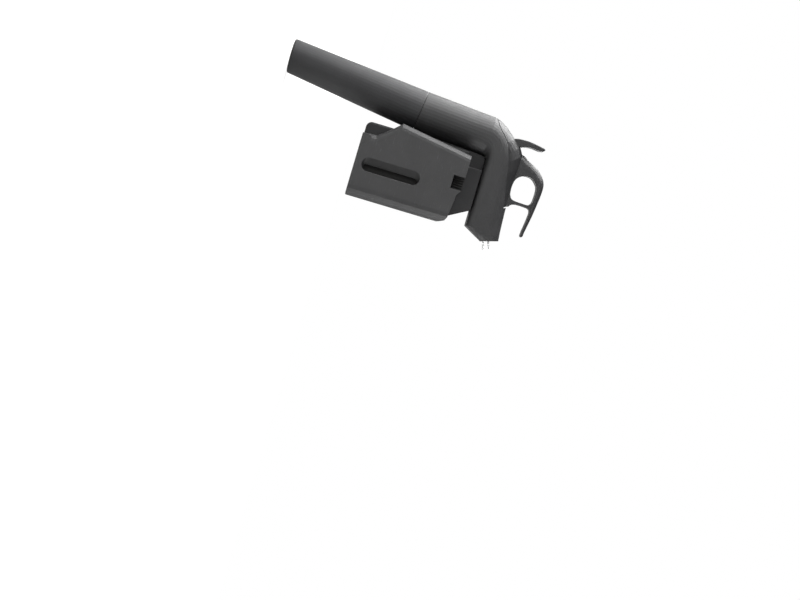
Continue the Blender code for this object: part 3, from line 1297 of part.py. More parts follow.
def make_slot():
    """Cutter of the dished finger slot: sloped from a wide mouth to a narrow slot through the plate."""
    mouth = (-SLOT_BACK, SLOT_LENGTH, SLOT_WIDTH)
    inner = (SLOT_INNER_SHIFT - SLOT_BACK, SLOT_INNER_LENGTH, SLOT_INNER_WIDTH)
    rings = [stadium(*mouth, -OVERRUN), stadium(*mouth, 0), stadium(*inner, SLOT_DEPTH)]
    return loft("slot", [*rings, stadium(*inner, ARM_WALL + OVERRUN)])


def make_knuckle():
    """Round eye between the frame's lugs, with the rib that carries it."""
    low = -LUG_LOWER_DROP + LUG_THICKNESS + GAP
    high = LUG_UPPER_HEIGHT - GAP
    knuckle = rod("knuckle", hinge_point(-1, low), hinge_point(-1, high), LUG_EYE_RADIUS)
    rib_low = (PIN_BACK - RIB_THICKNESS / 2, -ARM_INNER - ARM_WALL / 2, low)
    join(knuckle, box("rib", rib_low, (PIN_BACK + RIB_THICKNESS / 2, -HINGE_SPREAD, high)))
    foot, head = hinge_point(-1, low - OVERRUN), hinge_point(-1, high + OVERRUN)
    return cut(knuckle, rod("pin_hole", foot, head, HINGE_PIN_RADIUS + GAP))


def make_pad():
    """Rubber pad of the right arm, hollowed to the neck's radius."""
    low = (-PAD_BACK, -ARM_INNER + GAP, -PAD_BOTTOM_DROP)
    pad = round_edges(box("grip_pad_right", low, (PAD_FRONT, -PAD_INNER, -PAD_TOP_DROP)), PAD_ROUND)
    neck = rod("neck", (0, 0, -ARM_BOTTOM), (0, 0, ARM_TOP), NECK_RADIUS, PAD_SIDES)
    return cut(pad, neck)


def make_hinge_pin(name, side):
    """Headed pin through lugs and knuckle."""
    base = -LUG_LOWER_DROP
    top = LUG_UPPER_HEIGHT + LUG_THICKNESS + GAP
    profile = [
        (0, 0), (HINGE_PIN_RADIUS, 0), (HINGE_PIN_RADIUS, top - base), (HINGE_PIN_HEAD_RADIUS, top - base),
        (HINGE_PIN_HEAD_RADIUS, top - base + HINGE_PIN_HEAD), (0, top - base + HINGE_PIN_HEAD),
    ]
    return turned(name, profile, Matrix.Translation(hinge_point(side, base)), SMALL_SIDES)


def make_clamp_spring(name, side):
    """Coil spring between the spine and an arm's tail, which keeps the arms closed."""
    start = Vector((-CLAMP_SPRING_SHARE * ARM_APEX, side * (SPINE_HALF_WIDTH + GAP), -CLAMP_SPRING_DROP))
    length = ARM_INNER - SPINE_HALF_WIDTH - 2 * GAP
    return coil(name, start, LEFT * side, CLAMP_SPRING_RADIUS, CLAMP_SPRING_WIRE, CLAMP_SPRING_TURNS, length)


# Assembly


def finish(piece, look):
    """Gives a piece its own material, and smooth shading up to a sharp angle."""
    colour, roughness, metallic = look
    material = bpy.data.materials.new(piece.name)
    material.use_nodes = True
    shader = material.node_tree.nodes["Principled BSDF"]
    shader.inputs["Base Color"].default_value = (*colour, 1)
    shader.inputs["Roughness"].default_value = roughness
    shader.inputs["Metallic"].default_value = metallic
    piece.data.materials.clear()
    piece.data.materials.append(material)
    if piece.type == "MESH":
        piece.data.shade_smooth()
        piece.data.set_sharp_from_angle(angle=SMOOTH_ANGLE)


def set_origin(piece, point):
    """Moves a piece's origin to a point and leaves the piece where it is."""
    bpy.context.view_layer.update()
    piece.data.transform(Matrix.Translation(-Vector(point)) @ piece.matrix_world)
    piece.matrix_world = Matrix.Translation(point)


def add_body(name, place, pieces, carrier=None):
    """Empty at a body's joint that carries its pieces, which stay where they are."""
    holder = bpy.data.objects.new(name, None)
    holder.matrix_world = place
    bpy.context.collection.objects.link(holder)
    bpy.context.view_layer.update()
    if carrier is not None:
        holder.parent = carrier
        holder.matrix_parent_inverse = carrier.matrix_world.inverted()
    for piece, look in pieces:
        finish(piece, look)
        piece.parent = holder
        piece.matrix_parent_inverse = holder.matrix_world.inverted()
    bpy.context.view_layer.update()
    return holder


def make_clamp():
    """Frame and arms that grip the neck."""
    fixed = [(make_frame(), DARK_PLASTIC), (make_mouth_seat(), RUBBER), (make_needle_guide(), PALE_PLASTIC)]
    for side, label in ((-1, "right"), (1, "left")):
        fixed.append((make_hinge_pin("hinge_pin_" + label, side), STEEL))
        fixed.append((make_clamp_spring("clamp_spring_" + label, side), STEEL))
    clamp = add_body("clamp_body", Matrix.Identity(4), fixed)
    arm, pad = make_arm(), make_pad()
    far_arm, far_pad = mirrored(arm, "arm_left"), mirrored(pad, "grip_pad_left")
    for side, label, pieces in ((-1, "right", (arm, pad)), (1, "left", (far_arm, far_pad))):
        for piece in pieces:
            set_origin(piece, hinge_point(side, 0))
        looks = [(pieces[0], CHARCOAL), (pieces[1], RUBBER)]
        add_body("arm_axis_" + label, Matrix.Translation(hinge_point(side, 0)), looks, clamp)
    return clamp


def make_head(clamp):
    """Everything that slides with the handle, and the parts that move on it."""
    shells, skin = make_head_shells()
    carried = [(shell, CHARCOAL) for shell in shells]
    for name, shares in SCREW_PLACE_SHARES.items():
        carried.append((make_shell_screw(name, head_point(shares), skin), STEEL))
    carried += [(piece, STEEL) for piece in make_rail()]
    carried.append((make_valve_body(), ALUMINIUM))
    hub, needle_seal, needle = make_needle_set()
    carried += [(hub, STEEL), (needle_seal, RUBBER), (needle, STEEL)]
    tube, spout_collar = make_spout()
    carried += [(tube, PALE_PLASTIC), (spout_collar, DARK_PLASTIC), (make_gas_tube(), STEEL)]
    regulator, piston = make_regulator()
    carried += list(zip(regulator, (BRASS, BRASS, STEEL)))
    carried += [(make_collar(), ALUMINIUM), (make_piercing_pin(), STEEL), (make_capsule_seal(), RUBBER)]
    stem, valve_seal, valve_spring = make_valve_set()
    carried.append((valve_spring, STEEL))
    pin_reach = LEFT * PIVOT_PIN_REACH
    carried.append((rod("trigger_pin", PIVOT - pin_reach, PIVOT + pin_reach, PIVOT_PIN_RADIUS), STEEL))
    head = add_body("head_slide", Matrix.Identity(4), carried, clamp)
    trigger = make_trigger()
    set_origin(trigger, PIVOT)
    add_body("trigger_axis", Matrix.Translation(PIVOT), [(trigger, CHARCOAL)], head)
    add_body("valve_axis", stem.matrix_world.copy(), [(stem, STEEL), (valve_seal, RUBBER)], head)
    add_body("piston_axis", piston.matrix_world.copy(), [(piston, BRASS)], head)
    loaded = [(make_capsule(), STEEL), (make_cushion(), RUBBER)]
    capsule = add_body("capsule_axis", HANDLE_FRAME, loaded, head)
    add_body("cup_axis", HANDLE_FRAME, [(make_cup(), CHARCOAL)], capsule)


def main():
    clear_scene()
    make_head(make_clamp())


main()
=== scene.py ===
"""Looks of a wine preservation dispenser: the finish of every CAD part, and the fine pieces that
the CAD leaves out.
"""

import math

import bmesh
import bpy
from mathutils import Matrix, Vector


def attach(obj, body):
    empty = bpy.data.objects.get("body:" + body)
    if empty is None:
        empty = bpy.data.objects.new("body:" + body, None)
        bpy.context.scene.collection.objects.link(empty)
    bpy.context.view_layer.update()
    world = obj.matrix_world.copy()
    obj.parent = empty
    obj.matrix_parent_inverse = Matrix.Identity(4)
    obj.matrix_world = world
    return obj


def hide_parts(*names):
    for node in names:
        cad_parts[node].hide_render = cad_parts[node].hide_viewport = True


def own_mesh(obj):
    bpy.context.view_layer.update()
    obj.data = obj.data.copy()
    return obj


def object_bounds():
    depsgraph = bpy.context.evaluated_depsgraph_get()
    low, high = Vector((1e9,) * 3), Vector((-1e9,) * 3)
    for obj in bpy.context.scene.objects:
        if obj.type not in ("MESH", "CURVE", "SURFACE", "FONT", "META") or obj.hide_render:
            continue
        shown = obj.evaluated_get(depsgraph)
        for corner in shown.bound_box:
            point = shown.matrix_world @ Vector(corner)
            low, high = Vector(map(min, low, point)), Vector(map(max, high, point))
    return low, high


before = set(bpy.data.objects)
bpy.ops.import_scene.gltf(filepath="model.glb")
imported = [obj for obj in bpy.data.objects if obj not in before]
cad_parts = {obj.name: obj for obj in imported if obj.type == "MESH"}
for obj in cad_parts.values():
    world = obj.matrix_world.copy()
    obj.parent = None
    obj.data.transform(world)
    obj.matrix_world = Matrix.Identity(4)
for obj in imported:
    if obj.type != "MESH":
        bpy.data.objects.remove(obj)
cad_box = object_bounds()

MM = 0.001
WHITE = (1, 1, 1, 1)

# Places of a colour mix's sockets, whose names repeat
SHARE, FIRST, SECOND, MIXED = 0, 6, 7, 2

# Axis of the handle, along which the cup, its thread and the cartridge lie
HANDLE_TILT = math.radians(6.5)
HANDLE_TOP = (-0.0543, 0, -0.0238)
HANDLE_UP = Vector((math.sin(HANDLE_TILT), 0, math.cos(HANDLE_TILT)))

# Thread between cup and collar
THREAD_PITCH = 0.0020
THREAD_LENGTH = 0.0074
THREAD_RIDGE = 0.00022
THREAD_STEPS = 48
THREAD_SIDES = 6
COLLAR_RADIUS = 0.0131
CUP_THREAD_RADIUS = 0.0134

# Ribs on the grip pads
PAD_RADIUS = 0.01465
RIB_HALF_ANGLE = math.radians(42)
RIB_RADIUS = 0.0003
RIB_PITCH = 0.0024
RIB_LOWEST = -0.0524
RIB_COUNT = 19
RIB_STEPS = 24
RIB_SIDES = 8

# Rubber stops behind the arms' notches, whose near-black rubber also paints the shade inside the
# notches
STOP_LOW = (-0.0143, 0.0142, 0.0134)
STOP_HIGH = (-0.0039, 0.0221, 0.0216)
STOP_GROOVES = 5
STOP_GROOVE_DEPTH = 0.0006
STOP_BEVEL = 0.00012
STOP_BEVEL_STEPS = 2

# Springs: node, body, start, turn to the axis, axis, anchor's place on it (0 at the start, 1 at the
# end), coil radius, wire radius, turns, length, joint that presses it, and share of its length
# that stays
REGULATOR_SPRING_RISE = 0.01768
REGULATOR_SPRING_LOW = Vector(HANDLE_TOP) + REGULATOR_SPRING_RISE * HANDLE_UP
SPRING_STEPS = 36
WIRE_SIDES = 10
SPRINGS = (
    ("clamp_spring_right", "clamp", (-0.0302, -0.0133, -0.0330), (math.pi / 2, 0, 0),
     (0, -1, 0), 0, 0.0024, 0.0005, 4, 0.0097, "arm_right_swing", 0.66),
    ("clamp_spring_left", "clamp", (-0.0302, 0.0133, -0.0330), (-math.pi / 2, 0, 0),
     (0, 1, 0), 0, 0.0024, 0.0005, 4, 0.0097, "arm_left_swing", 0.66),
    ("valve_spring", "head", (-0.0178, 0, 0.0431), (0, 0, 0),
     (0, 0, 1), 0, 0.0036, 0.0004, 3, 0.0053, "valve_travel", 0.68),
    ("regulator_spring", "head", REGULATOR_SPRING_LOW, (0, HANDLE_TILT, 0),
     HANDLE_UP, 1, 0.00525, 0.0006, 5, 0.0101, "piston_travel", 0.91),
)

# Dish around each arm's slot, and how far the painted shade in it fades in from the rim
SLOT_BACK = 0.0032
SLOT_LOWEST = -0.0503
SLOT_HIGHEST = -0.0159
SLOT_REACH = 0.00535
SHADE_OUTSIDE = 0.0002
SHADE_INSIDE = 0.0006

# Floor, and how brightly the camera sees its paper near the part and far from it
FLOOR_REACH = 4.0
PAPER_NEAR = 0.15
PAPER_FAR = 1.1
PAPER_NEAR_GLOW = 0.78
PAPER_FAR_GLOW = 1.0
PAPER_IN_GLOSS = 0.4

# Surroundings, which dim with height
HORIZON_LIGHT = 0.185
CEILING_LIGHT = 0.05
CEILING_RISE = 0.6

# Lamps: name, place, width, height and watts
LAMP_TARGET = Vector((-0.02, 0, 0))
LAMPS = (
    ("key_softbox", (-0.95, 0.05, 0.5), 2.0, 0.8, 50),
    ("fill_softbox", (0.5, -0.1, 0.12), 0.5, 0.3, 2.2),
    ("front_softbox", (0, -1.4, 0.1), 0.5, 0.5, 2.1),
    ("rear_softbox", (0, 1.4, 0.3), 0.5, 0.5, 3),
)

# Photograph's camera, with the pixels that a metre covers at its target
CAMERA_PLACE = Vector((0.045, -1.1, -0.050))
CAMERA_TARGET = Vector((0.0875, 0, 0.0021))
CAMERA_NEAREST = 0.01
PIXELS_PER_METRE = 1310
PHOTO_WIDTH = 800
SENSOR_WIDTH = 36
# How far a step to the picture's right goes along a level camera's up and against its right
ROLL_ALONG_UP = 0.959
ROLL_AGAINST_RIGHT = 0.284


# Colours, nodes and patterns


def linear(shade):
    """sRGB hex such as "#434343" as a linear colour."""
    shares = [int(shade[place:place + 2], 16) / 255 for place in (1, 3, 5)]
    return (*[s / 12.92 if s <= 0.04045 else ((s + 0.055) / 1.055) ** 2.4 for s in shares], 1)


def add(tree, kind, inputs=None, **settings):
    """Adds a node with its settings. An input given as a socket is linked, and any other is set."""
    node = tree.nodes.new(kind)
    for name, value in settings.items():
        setattr(node, name, value)
    for place, value in (inputs or {}).items():
        if isinstance(value, bpy.types.NodeSocket):
            tree.links.new(value, node.inputs[place])
        else:
            node.inputs[place].default_value = value
    return node


def empty_material(name):
    """Material with no nodes yet, its tree, and the place on the object as a socket."""
    material = bpy.data.materials.new(name)
    material.use_nodes = True
    tree = material.node_tree
    tree.nodes.clear()
    return material, tree, add(tree, "ShaderNodeTexCoord").outputs["Object"]


def blotches(tree, place, millimetres, low, high, detail=2, roughness=0.5):
    """Cloudy blotches of a real size, that run from one value to another."""
    inputs = {"Vector": place, "Scale": 1 / (millimetres * MM), "Detail": detail}
    cloud = add(tree, "ShaderNodeTexNoise", {**inputs, "Roughness": roughness}).outputs["Fac"]
    inputs = {"Value": cloud, "From Min": 0.3, "From Max": 0.7, "To Min": low, "To Max": high}
    return add(tree, "ShaderNodeMapRange", inputs).outputs["Result"]


def scuffs(tree, place, turn):
    """Share of fine scuff marks from use, some 6 mm long and as thin as the render can show."""
    inputs = {"Vector": place, "Rotation": turn, "Scale": (0.07, 1, 1)}
    drawn = add(tree, "ShaderNodeMapping", inputs).outputs["Vector"]
    inputs = {"Vector": drawn, "Scale": 1 / (0.45 * MM), "Detail": 1, "Roughness": 0.4}
    streak = add(tree, "ShaderNodeTexNoise", inputs).outputs["Fac"]
    inputs = {"Value": streak, "From Min": 0.66, "From Max": 0.76, "To Min": 0.0, "To Max": 1.0}
    return add(tree, "ShaderNodeMapRange", inputs).outputs["Result"]


def rolled_edges(tree, millimetres):
    """Normal that rolls over sharp edges, and a share that is 1 on such an edge and 0 elsewhere."""
    rolled = add(tree, "ShaderNodeBevel", {"Radius": millimetres * MM}, samples=6).outputs["Normal"]
    flat = add(tree, "ShaderNodeNewGeometry").outputs["Normal"]
    dot = add(tree, "ShaderNodeVectorMath", {0: rolled, 1: flat}, operation="DOT_PRODUCT")
    inputs = {"Value": dot.outputs["Value"], "From Min": 0.985, "From Max": 0.84}
    edge = add(tree, "ShaderNodeMapRange", {**inputs, "To Min": 0.0, "To Max": 1.0})
    return rolled, edge.outputs["Result"]


def tool_marks(tree, place, pitch, turn):
    """Rings that a tool leaves around a part at its real feed, some deeper than others."""
    inputs = {"Vector": place, "Rotation": (0, turn, 0)}
    turned = add(tree, "ShaderNodeMapping", inputs).outputs["Vector"]
    inputs = {"Vector": turned, "Scale": (0.02, 0.02, 1)}
    squeezed = add(tree, "ShaderNodeMapping", inputs).outputs["Vector"]
    inputs = {"Vector": squeezed, "Scale": 1 / (pitch * MM), "Detail": 2, "Roughness": 0.6}
    return add(tree, "ShaderNodeTexNoise", inputs).outputs["Fac"]


# Materials


def slot_painted_shade(tree, place):
    """Share of painted shade in the dish around an arm's slot, which darkens that hollow as shade
    would; it rises from the dish's rim inwards.
    """
    at = add(tree, "ShaderNodeSeparateXYZ", {0: place}).outputs
    inputs = {"Value": at["Z"], "Min": SLOT_LOWEST, "Max": SLOT_HIGHEST}
    nearest = add(tree, "ShaderNodeClamp", inputs).outputs["Result"]
    centre = add(tree, "ShaderNodeCombineXYZ", {"X": -SLOT_BACK, "Z": nearest}).outputs["Vector"]
    level = add(tree, "ShaderNodeCombineXYZ", {"X": at["X"], "Z": at["Z"]}).outputs["Vector"]
    away = add(tree, "ShaderNodeVectorMath", {0: level, 1: centre}, operation="DISTANCE")
    inputs = {
        "Value": away.outputs["Value"], "From Min": SLOT_REACH + SHADE_OUTSIDE,
        "From Max": SLOT_REACH - SHADE_INSIDE, "To Min": 0.0, "To Max": 0.9,
    }
    return add(tree, "ShaderNodeMapRange", inputs).outputs["Result"]


def moulded_abs(name, dark, light, worn, gloss, edge_radius=0.8, painted_shade=None):
    """ABS from a spark-eroded tool. The even grain scatters the light to a soft grey sheen, the
    shade drifts a little with the flow of the melt, fingers have rubbed the edges paler and
    smoother, and there are a few scuffs. The real grain is 0.1 mm, too fine for the render, so it
    is drawn coarser."""
    material, tree, place = empty_material(name)
    rolled, edge = rolled_edges(tree, edge_radius)
    flow = blotches(tree, place, 26, 0, 1, detail=3)
    grain = blotches(tree, place, 0.55, 0, 1, detail=1)
    patchy = blotches(tree, place, 3.5, 0.15, 0.75, detail=3)
    touched = blotches(tree, place, 11, gloss - 0.05, gloss + 0.06, detail=4, roughness=0.62)
    scuffed = scuffs(tree, place, (0.4, 0.9, 0.7))
    faint = add(tree, "ShaderNodeMath", {0: scuffed, 1: 0.22}, operation="MULTIPLY").outputs[0]
    rub = add(tree, "ShaderNodeMath", {0: edge, 1: patchy}, operation="MULTIPLY").outputs[0]
    wear = add(tree, "ShaderNodeMath", {0: rub, 1: faint}, operation="MAXIMUM").outputs[0]
    inputs = {SHARE: flow, FIRST: linear(dark), SECOND: linear(light)}
    melt = add(tree, "ShaderNodeMix", inputs, data_type="RGBA").outputs[MIXED]
    inputs = {SHARE: wear, FIRST: melt, SECOND: linear(worn)}
    colour = add(tree, "ShaderNodeMix", inputs, data_type="RGBA").outputs[MIXED]
    # Painted shade: the dish around an arm's slot is darkened towards a near-black colour.
    if painted_shade:
        inputs = {SHARE: painted_shade(tree, place), FIRST: colour, SECOND: linear("#161617")}
        colour = add(tree, "ShaderNodeMix", inputs, data_type="RGBA").outputs[MIXED]
    inputs = {0: rub, 1: -0.12, 2: touched}
    polish = add(tree, "ShaderNodeMath", inputs, operation="MULTIPLY_ADD").outputs[0]
    inputs = {"Height": grain, "Distance": 0.035 * MM, "Normal": rolled}
    normal = add(tree, "ShaderNodeBump", inputs).outputs["Normal"]
    inputs = {
        "Base Color": colour, "Roughness": polish, "Normal": normal, "IOR": 1.53,
        "Specular IOR Level": 0.45,
    }
    surface = add(tree, "ShaderNodeBsdfPrincipled", inputs).outputs["BSDF"]
    add(tree, "ShaderNodeOutputMaterial", {"Surface": surface})
    return material


def glass_filled_nylon(name):
    """Nylon with glass fibre. The fibres that lie in the skin show as short pale flecks along the
    flow, and the skin is duller and a touch greyer than plain ABS."""
    material, tree, place = empty_material(name)
    rolled, edge = rolled_edges(tree, 0.45)
    inputs = {"Vector": place, "Scale": (1, 1, 0.22)}
    along = add(tree, "ShaderNodeMapping", inputs).outputs["Vector"]
    inputs = {"Vector": along, "Scale": 1 / (0.5 * MM), "Detail": 2, "Roughness": 0.7}
    fibre = add(tree, "ShaderNodeTexNoise", inputs).outputs["Fac"]
    inputs = {"Value": fibre, "From Min": 0.62, "From Max": 0.74, "To Min": 0.0, "To Max": 0.35}
    fleck = add(tree, "ShaderNodeMapRange", inputs).outputs["Result"]
    flow = blotches(tree, along, 19, 0, 1, detail=3)
    rub = add(tree, "ShaderNodeMath", {0: edge, 1: 0.4}, operation="MULTIPLY").outputs[0]
    # The frame's own dark grey, darkened further: painted shade for the clamp's block between the
    # arms and the head.
    inputs = {SHARE: flow, FIRST: linear("#222223"), SECOND: linear("#29292a")}
    melt = add(tree, "ShaderNodeMix", inputs, data_type="RGBA").outputs[MIXED]
    inputs = {SHARE: fleck, FIRST: melt, SECOND: linear("#484849")}
    skin = add(tree, "ShaderNodeMix", inputs, data_type="RGBA").outputs[MIXED]
    inputs = {SHARE: rub, FIRST: skin, SECOND: linear("#404041")}
    colour = add(tree, "ShaderNodeMix", inputs, data_type="RGBA").outputs[MIXED]
    rough = blotches(tree, place, 8, 0.5, 0.64, detail=4)
    inputs = {"Height": fibre, "Distance": 0.03 * MM, "Normal": rolled}
    normal = add(tree, "ShaderNodeBump", inputs).outputs["Normal"]
    inputs = {
        "Base Color": colour, "Roughness": rough, "Normal": normal, "IOR": 1.53,
        "Specular IOR Level": 0.3,
    }
    surface = add(tree, "ShaderNodeBsdfPrincipled", inputs).outputs["BSDF"]
    add(tree, "ShaderNodeOutputMaterial", {"Surface": surface})
    return material


def moulded_nitrile(name, shade, dusty):
    """Moulded nitrile rubber, which has almost no shine and holds a film of pale dust in
    blotches."""
    material, tree, place = empty_material(name)
    rolled, edge = rolled_edges(tree, 0.35)
    bloom = blotches(tree, place, 6, 0, 1, detail=5, roughness=0.65)
    speck = blotches(tree, place, 0.5, 0, 1)
    rub = add(tree, "ShaderNodeMath", {0: edge, 1: 0.3}, operation="MULTIPLY").outputs[0]
    inputs = {SHARE: bloom, FIRST: linear(shade), SECOND: linear(dusty)}
    skin = add(tree, "ShaderNodeMix", inputs, data_type="RGBA").outputs[MIXED]
    inputs = {SHARE: rub, FIRST: skin, SECOND: linear("#3a3a3a")}
    colour = add(tree, "ShaderNodeMix", inputs, data_type="RGBA").outputs[MIXED]
    inputs = {"Value": speck, "To Min": 0.72, "To Max": 0.88}
    rough = add(tree, "ShaderNodeMapRange", inputs).outputs["Result"]
    inputs = {"Height": speck, "Distance": 0.03 * MM, "Normal": rolled}
    normal = add(tree, "ShaderNodeBump", inputs).outputs["Normal"]
    inputs = {
        "Base Color": colour, "Roughness": rough, "Normal": normal, "IOR": 1.5,
        "Specular IOR Level": 0.25,
    }
    surface = add(tree, "ShaderNodeBsdfPrincipled", inputs).outputs["BSDF"]
    add(tree, "ShaderNodeOutputMaterial", {"Surface": surface})
    return material


def moulded_acetal(name):
    """Natural acetal, a milky white that lets a little light in and is waxy to the eye."""
    material, tree, place = empty_material(name)
    rolled, edge = rolled_edges(tree, 0.3)
    cloud = blotches(tree, place, 4, 0, 1, detail=4)
    rub = add(tree, "ShaderNodeMath", {0: edge, 1: 0.3}, operation="MULTIPLY").outputs[0]
    inputs = {SHARE: cloud, FIRST: linear("#cfccc4"), SECOND: linear("#dddbd4")}
    skin = add(tree, "ShaderNodeMix", inputs, data_type="RGBA").outputs[MIXED]
    inputs = {SHARE: rub, FIRST: skin, SECOND: linear("#efeee9")}
    colour = add(tree, "ShaderNodeMix", inputs, data_type="RGBA").outputs[MIXED]
    rough = blotches(tree, place, 1.5, 0.28, 0.42, detail=3)
    ripple = blotches(tree, place, 0.7, 0, 1)
    inputs = {"Height": ripple, "Distance": 0.01 * MM, "Normal": rolled}
    normal = add(tree, "ShaderNodeBump", inputs).outputs["Normal"]
    inputs = {
        "Base Color": colour, "Roughness": rough, "Normal": normal, "IOR": 1.48,
        "Subsurface Weight": 0.15, "Subsurface Radius": (0.6 * MM, 0.6 * MM, 0.55 * MM),
    }
    surface = add(tree, "ShaderNodeBsdfPrincipled", inputs).outputs["BSDF"]
    add(tree, "ShaderNodeOutputMaterial", {"Surface": surface})
    return material


def moulded_polycarbonate(name):
    """Clear polycarbonate, whose wall shows as grey edges against the light and is nearly white
    between."""
    material, tree, place = empty_material(name)
    rolled, edge = rolled_edges(tree, 0.2)
    haze = blotches(tree, place, 2.5, 0, 1, detail=4)
    rub = add(tree, "ShaderNodeMath", {0: edge, 1: 0.4}, operation="MULTIPLY").outputs[0]
    inputs = {SHARE: haze, FIRST: linear("#eceded"), SECOND: linear("#f8f9f9")}
    wall = add(tree, "ShaderNodeMix", inputs, data_type="RGBA").outputs[MIXED]
    inputs = {SHARE: rub, FIRST: wall, SECOND: linear("#dfe1e2")}
    colour = add(tree, "ShaderNodeMix", inputs, data_type="RGBA").outputs[MIXED]
    rough = blotches(tree, place, 1.2, 0.24, 0.34, detail=3)
    inputs = {"Height": haze, "Distance": 0.01 * MM, "Normal": rolled}
    normal = add(tree, "ShaderNodeBump", inputs).outputs["Normal"]
    inputs = {
        "Base Color": colour, "Roughness": rough, "Normal": normal, "IOR": 1.58,
        "Transmission Weight": 0.88,
    }
    surface = add(tree, "ShaderNodeBsdfPrincipled", inputs).outputs["BSDF"]
    add(tree, "ShaderNodeOutputMaterial", {"Surface": surface})
    return material


def worked_metal(name, dark, light, pitch, turn, low, high, depth=0.012):
    """Metal cut, drawn or ground along its length. The tool's rings spread the highlight along the
    part, stains change its shade from place to place, and the edges are brighter where the skin is
    worn."""
    material, tree, place = empty_material(name)
    rolled, edge = rolled_edges(tree, 0.25)
    marks = tool_marks(tree, place, pitch, turn)
    stain = blotches(tree, place, 5, 0, 1, detail=4)
    rub = add(tree, "ShaderNodeMath", {0: edge, 1: 0.5}, operation="MULTIPLY").outputs[0]
    inputs = {SHARE: stain, FIRST: linear(dark), SECOND: linear(light)}
    skin = add(tree, "ShaderNodeMix", inputs, data_type="RGBA").outputs[MIXED]
    inputs = {SHARE: rub, FIRST: skin, SECOND: linear(light)}
    colour = add(tree, "ShaderNodeMix", inputs, data_type="RGBA").outputs[MIXED]
    inputs = {0: stain, 1: 0.15, 2: marks}
    mixed = add(tree, "ShaderNodeMath", inputs, operation="MULTIPLY_ADD").outputs[0]
    inputs = {"Value": mixed, "From Min": 0.3, "From Max": 0.8, "To Min": low, "To Max": high}
    rough = add(tree, "ShaderNodeMapRange", inputs).outputs["Result"]
    inputs = {"Height": marks, "Distance": depth * MM, "Normal": rolled}
    normal = add(tree, "ShaderNodeBump", inputs).outputs["Normal"]
    inputs = {"Base Color": colour, "Metallic": 1.0, "Roughness": rough, "Normal": normal}
    surface = add(tree, "ShaderNodeBsdfPrincipled", inputs).outputs["BSDF"]
    add(tree, "ShaderNodeOutputMaterial", {"Surface": surface})
    return material


# Each ABS has a dark and a light shade, a worn one and a roughness. Each metal has a dark and a
# light shade, its tool's feed in mm, the turn of the tool's axis, and its lowest and highest
# roughness.
ABS_HEAD = moulded_abs("moulded_abs_head", "#323233", "#383839", "#525253", 0.50)
# Charcoal ABS, darkened beyond the head's shades: painted shade for the trigger's loop.
ABS_TRIGGER = moulded_abs(
    "moulded_abs_trigger", "#262627", "#2c2c2d", "#4c4c4d", 0.46, edge_radius=0.5)
ABS_CUP = moulded_abs("moulded_abs_cup", "#28282a", "#2e2e30", "#464648", 0.50)
# The arms' finish paints shade into the dish around each slot.
ABS_ARM = moulded_abs(
    "moulded_abs_arm", "#343435", "#3b3b3c", "#666667", 0.50, edge_radius=0.45, painted_shade=slot_painted_shade)
NYLON = glass_filled_nylon("moulded_glass_filled_nylon")
NITRILE = moulded_nitrile("moulded_nitrile_rubber", "#161616", "#232322")
ACETAL = moulded_acetal("moulded_acetal")
POLYCARBONATE = moulded_polycarbonate("moulded_polycarbonate")
GROUND_STEEL = worked_metal("ground_stainless_steel", "#b9babc", "#d3d4d5", 0.35, 0, 0.22, 0.36)
DRAWN_STEEL = worked_metal(
    "drawn_stainless_steel", "#adaeb0", "#cdced0", 0.9, 0, 0.16, 0.28, depth=0.006)
ZINC_STEEL = worked_metal("zinc_plated_steel", "#8f9193", "#b4b6b8", 0.5, 0, 0.3, 0.46)
DEEP_DRAWN_STEEL = worked_metal(
    "deep_drawn_steel", "#a4a6a8", "#c2c4c6", 1.4, -HANDLE_TILT, 0.2, 0.34)
BLACKED_STEEL = worked_metal("ground_black_oxide_steel", "#1b1c1e", "#2a2b2d", 0.4, 0, 0.36, 0.5)
BRASS = worked_metal("turned_brass", "#b58e4c", "#cfae6b", 0.3, -HANDLE_TILT, 0.2, 0.34)
BLACK_ALUMINIUM = worked_metal(
    "turned_black_anodised_aluminium", "#17181a", "#26272a", 0.3, -HANDLE_TILT, 0.4, 0.55)
MILLED_ALUMINIUM = worked_metal(
    "milled_aluminium", "#b0b1b4", "#cacbce", 0.6, math.pi / 2, 0.3, 0.44)

NODES_OF_FINISH = (
    (ABS_HEAD, ("head_shell_right", "head_shell_left")),
    (ABS_TRIGGER, ("trigger",)),
    (ABS_CUP, ("capsule_cup",)),
    (ABS_ARM, ("arm_right", "arm_left")),
    (NYLON, ("clamp_frame", "spout_collar")),
    (NITRILE, ("mouth_seat", "grip_pad_right", "grip_pad_left", "needle_seal", "capsule_seal",
               "cup_cushion", "valve_seal")),
    (ACETAL, ("needle_guide",)),
    (POLYCARBONATE, ("spout_tube",)),
    (BLACKED_STEEL, ("slide_rail",)),
    (GROUND_STEEL, ("hinge_pin_right", "hinge_pin_left", "trigger_pin", "valve_stem",
                    "needle_hub")),
    (DRAWN_STEEL, ("needle", "gas_tube", "piercing_pin", "clamp_spring_right",
                   "clamp_spring_left", "regulator_spring", "valve_spring")),
    (ZINC_STEEL, ("rail_screw_right", "rail_screw_left", "shell_screw_rear",
                  "shell_screw_front")),
    (DEEP_DRAWN_STEEL, ("gas_capsule",)),
    (BRASS, ("regulator_body", "regulator_piston", "regulator_cap")),
    (BLACK_ALUMINIUM, ("threaded_collar",)),
    (MILLED_ALUMINIUM, ("valve_body",)),
)
for finish, node_names in NODES_OF_FINISH:
    for node_name in node_names:
        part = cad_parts[node_name]
        if not part.material_slots:
            part.data.materials.append(finish)
        for slot in part.material_slots:
            slot.material = finish


# Fine pieces


def new_object(name, data):
    """Object in the scene that holds these data."""
    thing = bpy.data.objects.new(name, data)
    bpy.context.scene.collection.objects.link(thing)
    return thing


